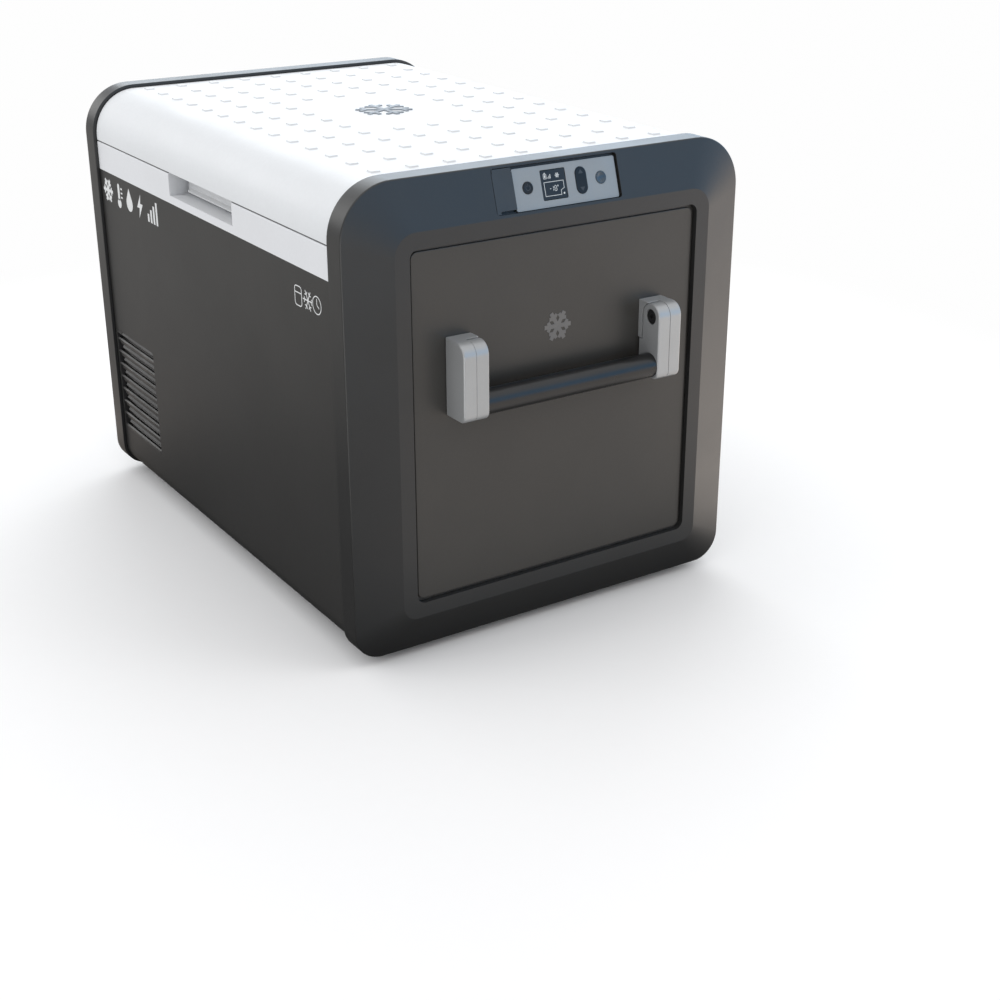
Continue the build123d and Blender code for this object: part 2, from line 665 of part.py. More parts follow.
with BuildPart() as control_board:
    slab(bevel(-11.5), (-46, 66), around(18), 1.5, 1)
    # display module, then four small switches
    slab(bevel(-10.2), (display_u_low - 2, display_u_high + 2), around(16), 5)
    with BuildSketch(bevel(-10.2)):
        with Locations((power_u, 0), (set_u, 0), (rocker_u, 9), (rocker_u, -9)):
            Rectangle(6, 6)
    extrude(amount=1.2)
save("control_board", control_board)

# round buttons: name, u, cap radius, flange radius, finger dish's centre w and sphere radius
round_buttons = [
    ("power_button", power_u, 5.7, 7.0, 19.5, 21.4),
    ("set_button", set_u, 5.95, 7.2, 7.1, 9.8),
]
for name, button_u, cap_radius, flange_radius, dish_w, dish_radius in round_buttons:
    with BuildPart() as button:
        rod(bevel(buttons_back), cap_radius, 4.2, (button_u, 0))
        chamfer(button.edges().filter_by(GeomType.CIRCLE), 0.4)
        rod(bevel(buttons_back), flange_radius, 1.0, (button_u, 0))
        rod(bevel(-7.9), 2.0, 2.5, (button_u, 0))
        with Locations(bevel_plane.from_local_coords(Vector(button_u, 0, dish_w))):
            Sphere(dish_radius, mode=CUT)
    save(name, button)

with BuildPart() as rocker_button:
    with BuildSketch(bevel(buttons_back)):
        with Locations((rocker_u, 0)):
            SlotOverall(25.2, 12.4, rotation=90)
    extrude(amount=4.0)
    # side wings that hold it behind the faceplate
    slab(bevel(buttons_back), around(7.6, rocker_u), around(3.5), 0.9)
save("rocker_button", rocker_button)

with BuildPart() as usb_cover:
    slab(bevel(-3.2), (flap_start_u, -48.0), around(20.7), 2.8, 1.2)
    # notches for the housing lugs
    for notch_u in ((-71, -69.5), (-49.0, -47)):
        slab(bevel(-4), notch_u, (16.8, 22), 5, mode=CUT)
    # finger gap along the lower edge
    slab(bevel(-4), (-66.0, -46), (-24, -18.0), 5, 1.0, mode=CUT)
    # pin moulded into the upper edge
    rod(flap_plane.offset(-0.2), flap_pin_radius, 22.3, (0, 0))
save("usb_cover", usb_cover)

with BuildPart() as usb_port:
    slab(bevel(-6.6), (-68.9, -49.1), (-19.4, 16.6), 1.6, 1)
    # socket shell, its mouth and the tongue inside
    slab(bevel(-13.5), (-66.4, -51.6), around(4.2), 7.5, 0.8)
    slab(bevel(-12.5), (-65.4, -52.6), around(3.0), 9, 0.4, mode=CUT)
    slab(bevel(-12.8), (-64.4, -53.6), around(0.9), 7)
save("usb_port", usb_port)

# ---------------------------------------------------------------------------
# INTERIOR: liner, evaporator tube, insulation, basket, lamp, drain
# ---------------------------------------------------------------------------
tub_x_low = -120.0
tub_floor, shelf_floor = 62.0, 262.0      # deep tub, and the shelf over the compressor
tub_out_x_low = tub_x_low - liner_wall

with BuildPart() as inner_liner:
    for floor, out_x_low in ((tub_floor, tub_out_x_low), (shelf_floor, -liner_out_x)):
        slab(at_z(floor - liner_wall), (out_x_low, liner_out_x), around(liner_out_y),
             collar_high - floor + liner_wall, liner_corner)
    slab(at_z(418.7), around(liner_out_x + liner_flange), around(liner_out_y + liner_flange),
         1.5, liner_corner + liner_flange)
    for floor, x_low, depth in ((tub_floor, tub_x_low, 400), (shelf_floor, -liner_half_x, 200)):
        slab(at_z(floor), (x_low, liner_half_x), around(liner_half_y), depth,
             liner_corner - liner_wall, mode=CUT)
    rod(at_z(55), 6.1, 12, drain, mode=CUT)
save("inner_liner", inner_liner)

coil_radius = 4.0
coil_offset = 5.0                         # tube centre from the outside of the liner
coil_low, coil_pitch, coil_turns = 84.0, 32.0, 5
coil_rise = 7.0                           # from one corner to the next
coil_x_low, coil_x_high = tub_out_x_low - coil_offset, liner_out_x + coil_offset
coil_y = liner_out_y + coil_offset
coil_points = [(coil_x_low, 60, coil_low)]
for turn in range(coil_turns):
    turn_z = coil_low + coil_pitch * turn
    coil_points += [(coil_x_low, -coil_y, turn_z),
                    (coil_x_high, -coil_y, turn_z + coil_rise),
                    (coil_x_high, coil_y, turn_z + 2 * coil_rise),
                    (coil_x_low, coil_y, turn_z + 3 * coil_rise)]
coil_points += [(coil_x_low, 20, coil_low + coil_pitch * coil_turns)]

with BuildPart() as evaporator_coil:
    with BuildLine() as coil_path:
        FilletPolyline(*coil_points, radius=14)
    with BuildSketch(start_plane(coil_path.line)):
        Circle(coil_radius)
    sweep()
save("evaporator_coil", evaporator_coil)

foam_x, foam_y = 288.5, 219.0             # half sizes of the insulation block
coil_gap = 10.0                           # room around the liner for the evaporator tube
liner_foam_y = liner_out_y + liner_gap

with BuildPart() as insulation_foam:
    slab(at_z(21), (-150, foam_x), around(foam_y), 396)
    fillet(insulation_foam.edges().filter_by(Axis.X).filter_by_position(Axis.Z, 20.9, 21.1), 22)
    slab(at_z(240), (-foam_x, -149), around(foam_y), 177)
    # blocks that reach into the end frames
    slab(at_z(50), (288, 317), around(185), 337)
    slab(at_z(240), (-317, -288), around(185), 147)
    # room for the liner and for the evaporator tube around it
    slab(at_z(59.7), (tub_out_x_low - liner_gap, liner_out_x + liner_gap),
         around(liner_foam_y), 400, mode=CUT)
    slab(at_z(259.7), around(liner_out_x + liner_gap), around(liner_foam_y), 200, mode=CUT)
    slab(at_z(59.7), (tub_out_x_low - coil_gap, liner_out_x + coil_gap),
         around(liner_out_y + coil_gap), 190.3, mode=CUT)
    # latch recess, drain and the two refrigerant line holes
    slab(at_z(392.7), around(latch_half + 3.3), (-225, latch_back + 3.3), 40, mode=CUT)
    rod(at_z(10), 6.4, 60, drain, mode=CUT)
    rod(at_x(-155), 6, 25, (90, 84), (60, 200), mode=CUT)
save("insulation_foam", insulation_foam)

drain_bore = 4.0
with BuildPart() as drain_tube:
    rod(at_z(12.5), 6.0, 49.4, drain)
    rod(at_z(10), drain_bore, 60, drain, mode=CUT)
save("drain_tube", drain_tube)

with BuildPart() as drain_plug:
    rod(at_z(7.5), 9.5, 4.6, drain)
    chamfer(drain_plug.edges().filter_by(GeomType.CIRCLE), 0.8)
    rod(at_z(12), drain_bore - running, 16, drain)
    # finger tab
    slab(at_z(4.5), around(1.5, drain[0]), around(7), 3.5)
save("drain_plug", drain_plug)

basket_x_low, basket_x_high, basket_y = -110.0, 251.0, 152.0
basket_top, basket_low = 330.0, 68.0
long_wire_low = basket_low + 2.4
cross_wire_count = 10
cross_wire_pitch = (basket_x_high - basket_x_low - 50) / (cross_wire_count - 1)
wire_radius = 1.6

# each wire: corner points, wire radius, closed or not
basket_wires = []
for i in range(cross_wire_count):
    x = basket_x_low + 25 + i * cross_wire_pitch
    corners = [(x, -basket_y, basket_top), (x, -basket_y, basket_low),
               (x, basket_y, basket_low), (x, basket_y, basket_top)]
    basket_wires.append((corners, wire_radius, False))
for y in (-116, -70, -24, 24, 70, 116):
    corners = [(basket_x_low, y, basket_top), (basket_x_low, y, long_wire_low),
               (basket_x_high, y, long_wire_low), (basket_x_high, y, basket_top)]
    basket_wires.append((corners, wire_radius, False))
for z, radius in ((basket_top, 3.0), (200.0, 1.8)):
    corners = [(basket_x_low, -basket_y, z), (basket_x_high, -basket_y, z),
               (basket_x_high, basket_y, z), (basket_x_low, basket_y, z)]
    basket_wires.append((corners, radius, True))

with BuildPart() as wire_basket:
    for corners, radius, closed in basket_wires:
        with BuildLine() as wire:
            FilletPolyline(*corners, radius=14, close=closed)
        with BuildSketch(start_plane(wire.line)):
            Circle(radius)
        sweep()
save("wire_basket", wire_basket)

with BuildPart() as interior_lamp:
    slab(at_x(258.2), around(27), (374, 388), 3.7, 4)
    fillet(interior_lamp.faces().sort_by(Axis.X)[0].edges(), 1.4)
save("interior_lamp", interior_lamp)

# ---------------------------------------------------------------------------
# COMPRESSOR COMPARTMENT
# ---------------------------------------------------------------------------
compressor_x, compressor_y = -230.0, -75.0
grommet_places = [(compressor_x + dx, compressor_y + dy) for dy in (-34, 34) for dx in (-56, 56)]

# half profile of the welded can: (radius, z)
can_profile = [(0, 34), (34, 34), (48, 44), (50, 56), (50, 104), (53, 104), (53, 109),
               (50, 109), (50, 142), (44, 158), (28, 168), (0, 171)]

with BuildPart() as compressor:
    with BuildSketch(Plane(origin=(compressor_x, compressor_y, 0), x_dir=(1, 0, 0),
                           z_dir=(0, -1, 0))):
        with BuildLine():
            Polyline(*can_profile, close=True)
        make_face()
    revolve(axis=Axis((compressor_x, compressor_y, 0), (0, 0, 1)))
    # foot plate
    slab(at_z(31), around(66, compressor_x), around(44, compressor_y), 4, 10)
    rod(at_z(30), 4.6, 6, *grommet_places, mode=CUT)
    # terminal cover
    slab(at_z(70), around(24, compressor_x), (compressor_y + 40, compressor_y + 64), 50, 4)
save("compressor", compressor)

with BuildPart() as compressor_grommets:
    rod(at_z(16.2), 8.5, 14.7, *grommet_places)
    rod(at_z(30.5), 4.5, 6.5, *grommet_places)
save("compressor_grommets", compressor_grommets)

condenser_x_low, condenser_x_high = -296.0, -166.0
condenser_length = condenser_x_high - condenser_x_low
fin_count, fin_margin = 21, 6.0
pass_y, pass_low, pass_pitch, pass_count = -192.7, 50, 20, 8
pass_radius = 4

with BuildPart() as condenser:
    # fins between two end plates with feet
    for i in range(fin_count):
        fin_x = (condenser_x_low + fin_margin
                 + i * (condenser_length - 2 * fin_margin) / (fin_count - 1))
        slab(at_x(fin_x - 0.5), (-206, -179.5), (40, 200), 1.0)
    for plate_x in (condenser_x_low, condenser_x_high - 2.0):
        slab(at_x(plate_x), (-207, -178.5), (36, 203), 2.0)
        slab(at_x(plate_x), (-194, -178.5), (16.3, 37), 2.0)
    # tube passes with return bends at alternate ends
    for row in range(pass_count):
        rod(at_x(condenser_x_low), pass_radius, condenser_length,
            (pass_y, pass_low + row * pass_pitch))
    for row in range(pass_count - 1):
        bend_x = condenser_x_low - 3.6 if row % 2 else condenser_x_high - 0.5
        bend_low = pass_low - pass_radius + row * pass_pitch
        slab(at_x(bend_x), around(pass_radius, pass_y),
             (bend_low, bend_low + pass_pitch + 2 * pass_radius), 4.1, 3.9)
save("condenser", condenser)

fan_x, fan_z = -231.0, 120.0
fan_axis = (fan_x, fan_z)
hub_radius, spindle_radius = 20.0, 3.0
blade_count, blade_root = 7, 17.0

with BuildPart() as fan_frame:
    slab(at_y(-149), around(60, fan_x), around(60, fan_z), 25, 6)
    slab(at_y(-173.9), around(65, fan_x), (16.4, 200), 2.6, 3)
    rod(at_y(-140), 56, 50, fan_axis, mode=CUT)
    # motor carrier on four struts, with the spindle
    rod(at_y(-149), hub_radius, 2.5, fan_axis)
    with BuildSketch(at_y(-149)):
        with Locations(fan_axis):
            Rectangle(114, 5, rotation=45)
            Rectangle(114, 5, rotation=-45)
    extrude(amount=2.5)
    rod(at_y(-150), spindle_radius, 20, fan_axis)
save("fan_frame", fan_frame)

with BuildPart() as fan_rotor:
    rod(at_y(-152.2), hub_radius, 19.5, fan_axis)
    for i in range(blade_count):
        angle = radians(360 / blade_count * i)
        blade_plane = Plane(origin=(fan_x + blade_root * cos(angle), -162,
                                    fan_z + blade_root * sin(angle)),
                            x_dir=(0, 1, 0), z_dir=Vector(cos(angle), 0, sin(angle)))
        with BuildSketch(blade_plane):
            Rectangle(22, 1.6, rotation=38)
        extrude(amount=36)
    rod(at_y(-150), spindle_radius + running, 20.5, fan_axis, mode=CUT)
save("fan_rotor", fan_rotor)

with BuildPart() as controller_module:
    # upright plate with thirteen ribs on its +Y side and a box on its -Y side
    slab(at_z(16.3), (-296, -170), (60, 66), 150, 1)
    with BuildSketch(at_z(24)):
        with Locations((-233, 75)):
            with GridLocations(9.2, 1, 13, 1):
                Rectangle(2.0, 20)
    extrude(amount=140)
    slab(at_y(60.5), (-290, -180), (40, 150), 22, 3)
save("controller_module", controller_module)

discharge_x = compressor_x + 30
# each pipe: pipe radius, bend radius, corner points
pipes = [
    # discharge line: compressor to the top of the condenser
    (2.5, 9, [(discharge_x, compressor_y, 172), (discharge_x, compressor_y, 210),
              (-160, compressor_y, 210), (-160, pass_y, 210)]),
    # suction line: evaporator back to the compressor
    (3.5, 4, [(-136, 60, 200), (-175, 60, 200), (-175, 40, 200), (-175, 40, 182),
              (compressor_x, 40, 182), (compressor_x, compressor_y, 182),
              (compressor_x, compressor_y, 173)]),
    # liquid line
    (1.5, 8, [(-136, 90, 84), (-158, 90, 84), (-158, 90, 40), (-158, -150, 40)]),
]
with BuildPart() as refrigerant_pipes:
    for pipe_radius, bend_radius, corners in pipes:
        with BuildLine() as pipe:
            FilletPolyline(*corners, radius=bend_radius)
        with BuildSketch(start_plane(pipe.line)):
            Circle(pipe_radius)
        sweep()
    # filter drier on the liquid line
    rod(at_y(-20), 5.5, 80, (-158, 40))
save("refrigerant_pipes", refrigerant_pipes)

# ---------------------------------------------------------------------------
# POWER INLET low on the rear end panel, with its hinged cover
# ---------------------------------------------------------------------------
cover_axis = (-325.7, 115.6)              # (x, z)
cover_pin_radius = 0.8
socket_face_x, socket_z = -301.5, 96.0

with BuildPart() as power_inlet:
    # flange behind the panel, then the box with its cavity
    slab(at_x(-323.9), (55, 145), (73, 123), 2, 3)
    slab(at_x(-322.5), (59.5, 140.5), (77.5, 119.2), 22.5, 2)
    slab(at_x(-324), (61, 139), (79, 117.7), 22, 1, mode=CUT)
    # round twelve-volt socket
    with BuildSketch(at_x(socket_face_x)):
        with Locations((82, socket_z)):
            Circle(13)
            Circle(10.5, mode=CUT)
    extrude(amount=-14)
    # oval mains socket, and the contacts of both sockets
    with BuildSketch(at_x(socket_face_x)):
        with Locations((118, socket_z)):
            SlotOverall(28, 18)
            SlotOverall(24, 14, mode=CUT)
        with Locations((78, socket_z), (86, socket_z)):
            Circle(1.3)
        with Locations((113, socket_z), (123, socket_z)):
            Circle(1.2)
    extrude(amount=-12)
    # lugs for the cover pin
    for lug_y in ((60.6, 61.8), (138.2, 139.4)):
        slab(at_x(-326.6), lug_y, (113.8, 117.5), 4.5)
    rod(at_y(145), cover_pin_radius + running, 90, cover_axis, mode=CUT)
save("power_inlet", power_inlet)

with BuildPart() as power_inlet_cover:
    slab(at_x(-326.8), (60.4, 139.6), (78.4, 117.6), 2.2, 0.8)
    # notches for the lugs, and a round finger notch in the lower edge
    for notch_y in ((59, 62.1), (137.9, 141)):
        slab(at_x(-328), notch_y, (113.3, 119), 6, mode=CUT)
    rod(at_x(-328), 7, 2.4, (100, 77), mode=CUT)
    rod(at_y(139.2), cover_pin_radius, 78.4, cover_axis)
save("power_inlet_cover", power_inlet_cover)
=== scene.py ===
# A chest-shaped portable cooler with a lid on top and a handle at each end.
# It stands on z = 0 with Z up.  Its front end, with the sloping control panel, faces +X,
# and the latch side of the lid faces -Y.  Pieces named "left" lie on -Y, "right" on +Y.
# The CAD pieces get materials and eased edges; printed symbols, two dark strips of painted shade in
# the lid seam, a floor, lights and a camera are added.  Printed shapes are in millimetres, the
# studio in metres.
import bpy, bmesh, math
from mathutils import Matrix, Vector


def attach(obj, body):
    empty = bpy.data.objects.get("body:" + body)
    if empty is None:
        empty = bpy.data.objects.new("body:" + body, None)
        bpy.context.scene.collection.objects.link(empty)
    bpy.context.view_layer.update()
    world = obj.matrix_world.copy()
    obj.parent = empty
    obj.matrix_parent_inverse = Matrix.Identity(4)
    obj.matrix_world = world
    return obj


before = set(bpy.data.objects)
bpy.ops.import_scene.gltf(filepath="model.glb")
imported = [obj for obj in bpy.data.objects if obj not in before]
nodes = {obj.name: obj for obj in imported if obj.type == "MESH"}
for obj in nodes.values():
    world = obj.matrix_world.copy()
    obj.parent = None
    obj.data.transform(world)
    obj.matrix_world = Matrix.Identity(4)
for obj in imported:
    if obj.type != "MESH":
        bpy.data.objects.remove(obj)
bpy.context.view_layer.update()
MM = 0.001

# --------------------------------------------------------------------------
# shader building blocks
# --------------------------------------------------------------------------


class Shader:
    """Adds nodes to one node tree; most methods return the new node's output socket."""

    def __init__(self, tree):
        self.tree = tree

    def feed(self, socket, value):
        """Link a socket to another, or set its value; colours are given as RGB."""
        if hasattr(value, "links"):
            self.tree.links.new(value, socket)
        elif socket.type == "RGBA":
            socket.default_value = (*value, 1.0)
        else:
            socket.default_value = value

    def add(self, kind, inputs=None, **settings):
        new = self.tree.nodes.new(kind)
        for key, value in settings.items():
            setattr(new, key, value)
        for key, value in (inputs or {}).items():
            self.feed(new.inputs[key], value)
        return new

    def noise(self, vector, scale, detail=3.0, rough=0.55, distortion=0.0):
        return self.add("ShaderNodeTexNoise", {
            "Scale": scale, "Detail": detail, "Roughness": rough, "Distortion": distortion,
            "Vector": vector}).outputs["Fac"]

    def ramp(self, value, between, to=(0.0, 1.0)):
        """Smooth step of a value from one range to another."""
        return self.add("ShaderNodeMapRange", {
            "From Min": between[0], "From Max": between[1], "To Min": to[0], "To Max": to[1],
            "Value": value}, interpolation_type="SMOOTHSTEP").outputs["Result"]

    def maths(self, operation, *values):
        inputs = dict(enumerate(values))
        return self.add("ShaderNodeMath", inputs, operation=operation).outputs[0]

    def mix(self, factor, first, second, blend="MIX"):
        return self.add("ShaderNodeMix", {0: factor, 6: first, 7: second},
                        data_type="RGBA", blend_type=blend).outputs[2]

    def mix_shader(self, factor, first, second):
        return self.add("ShaderNodeMixShader", {0: factor, 1: first, 2: second}).outputs[0]

    def dot(self, first, second):
        return self.add("ShaderNodeVectorMath", {0: first, 1: second},
                        operation="DOT_PRODUCT").outputs["Value"]

    def split(self, vector):
        return self.add("ShaderNodeSeparateXYZ", {0: vector}).outputs

    def geometry(self, output):
        return self.add("ShaderNodeNewGeometry").outputs[output]


def new_material(name):
    """An empty node material, its shader builder and the surface socket of its output."""
    material = bpy.data.materials.new(name)
    material.use_nodes = True
    shader = Shader(material.node_tree)
    shader.tree.nodes.clear()
    return material, shader, shader.add("ShaderNodeOutputMaterial").inputs[0]


def set_cycles(owner, setting, value):
    # guards against a Blender that runs without the Cycles add-on
    try:
        setattr(owner.cycles, setting, value)
    except AttributeError:
        pass


# --------------------------------------------------------------------------
# product materials
# --------------------------------------------------------------------------
COAT_ROUGHNESS = 0.1
DUST_COLOR = (0.55, 0.53, 0.50)


def edge_wear_and_highlight(shader, coords, radius):
    """Broken-up mask of the places where a bevelled normal leaves the true one: edges that are
    lightened, partly as wear and partly as a painted highlight.
    """
    bevel = shader.add("ShaderNodeBevel", {"Radius": radius}, samples=4).outputs[0]
    bend = shader.dot(bevel, shader.geometry("Normal"))
    wear_and_highlight = shader.ramp(bend, between=(0.995, 0.86))
    breakup = shader.ramp(shader.noise(coords, scale=260.0), between=(0.35, 0.7), to=(0.25, 1.0))
    return shader.maths("MULTIPLY", wear_and_highlight, breakup)


def dust_mask(shader, coords, amount):
    """Patches on the faces that look upward."""
    up = shader.ramp(shader.split(shader.geometry("Normal"))["Z"], between=(0.2, 1.0))
    patch = shader.noise(coords, scale=22.0, detail=6.0, rough=0.7)
    patch = shader.ramp(patch, between=(0.42, 0.75))
    return shader.maths("MULTIPLY", shader.maths("MULTIPLY", up, patch), amount)


def relief(shader, coords, grain, peel, brush):
    """Bumped normal from brush lines, fine grain and orange peel."""
    scale, strength, depth = grain
    height = shader.noise(coords, scale=scale, detail=2.0, rough=0.6)
    if brush:
        stretch, weight = brush
        mapping = shader.add("ShaderNodeMapping", {"Scale": stretch, "Vector": coords})
        lines = shader.noise(mapping.outputs[0], scale=1.0, detail=4.0, rough=0.7)
        height = shader.maths("ADD", shader.maths("MULTIPLY", lines, weight), height)
    if peel:
        scale, weight = peel
        waves = shader.noise(coords, scale=scale, detail=2.0, rough=0.45)
        height = shader.maths("ADD", height, shader.maths("MULTIPLY", waves, weight))
    return shader.add("ShaderNodeBump", {
        "Strength": strength, "Distance": depth, "Height": height}).outputs[0]


def surface(name, color, rough, mottle, grain, metallic=0.0, spec=0.5, smudge=(9.0, 0.08),
            peel=None, edge=None, brush=None, coat=0.0, dust=0.0, emission=None):
    """A procedural surface.
    mottle: scale and contrast of the colour; grain: scale, strength and depth (m) of the bump;
    smudge: scale and swing of the roughness; peel: scale and weight of the broad bump;
    edge: radius (m), amount and colour of the lightened edges, partly wear and partly painted
    highlight;
    brush: stretch and weight of lines; coat, dust: amounts; emission: colour and strength."""
    material, shader, output = new_material(name)
    bsdf = shader.add("ShaderNodeBsdfPrincipled")
    shader.feed(output, bsdf.outputs[0])
    coords = shader.add("ShaderNodeTexCoord").outputs["Object"]

    mottle_scale, contrast = mottle
    dark = tuple(c * (1.0 - contrast) for c in color)
    light = tuple(min(1.0, c * (1.0 + contrast)) for c in color)
    large = shader.noise(coords, scale=mottle_scale, detail=4.0, rough=0.6)
    small = shader.noise(coords, scale=mottle_scale * 38.0, detail=2.0, rough=0.5)
    blotches = shader.maths("ADD", shader.maths("MULTIPLY", large, 0.7),
                            shader.maths("MULTIPLY", small, 0.3))
    base = shader.mix(shader.ramp(blotches, between=(0.34, 0.66)), dark, light)

    smudge_scale, swing = smudge
    gloss = shader.noise(coords, scale=smudge_scale, detail=5.0, rough=0.65, distortion=0.4)
    gloss = shader.ramp(gloss, between=(0.3, 0.7), to=(-swing, swing))
    roughness = shader.maths("ADD", gloss, rough)
    if edge:
        # edges lightened toward edge_color: partly wear, partly a painted highlight
        radius, amount, edge_color = edge
        wear_and_highlight = edge_wear_and_highlight(shader, coords, radius)
        base = shader.mix(shader.maths("MULTIPLY", wear_and_highlight, amount), base, edge_color)
        polish = shader.maths("MULTIPLY", wear_and_highlight, -0.06)
        roughness = shader.maths("ADD", roughness, polish)
    if dust:
        base = shader.mix(dust_mask(shader, coords, dust), base, DUST_COLOR)

    values = {"Base Color": base, "Roughness": roughness, "Metallic": metallic,
              "Specular IOR Level": spec, "Normal": relief(shader, coords, grain, peel, brush)}
    if coat:
        values.update({"Coat Weight": coat, "Coat Roughness": COAT_ROUGHNESS})
    if emission:
        values.update({"Emission Color": emission[0], "Emission Strength": emission[1]})
    for key, value in values.items():
        shader.feed(bsdf.inputs[key], value)
    return material


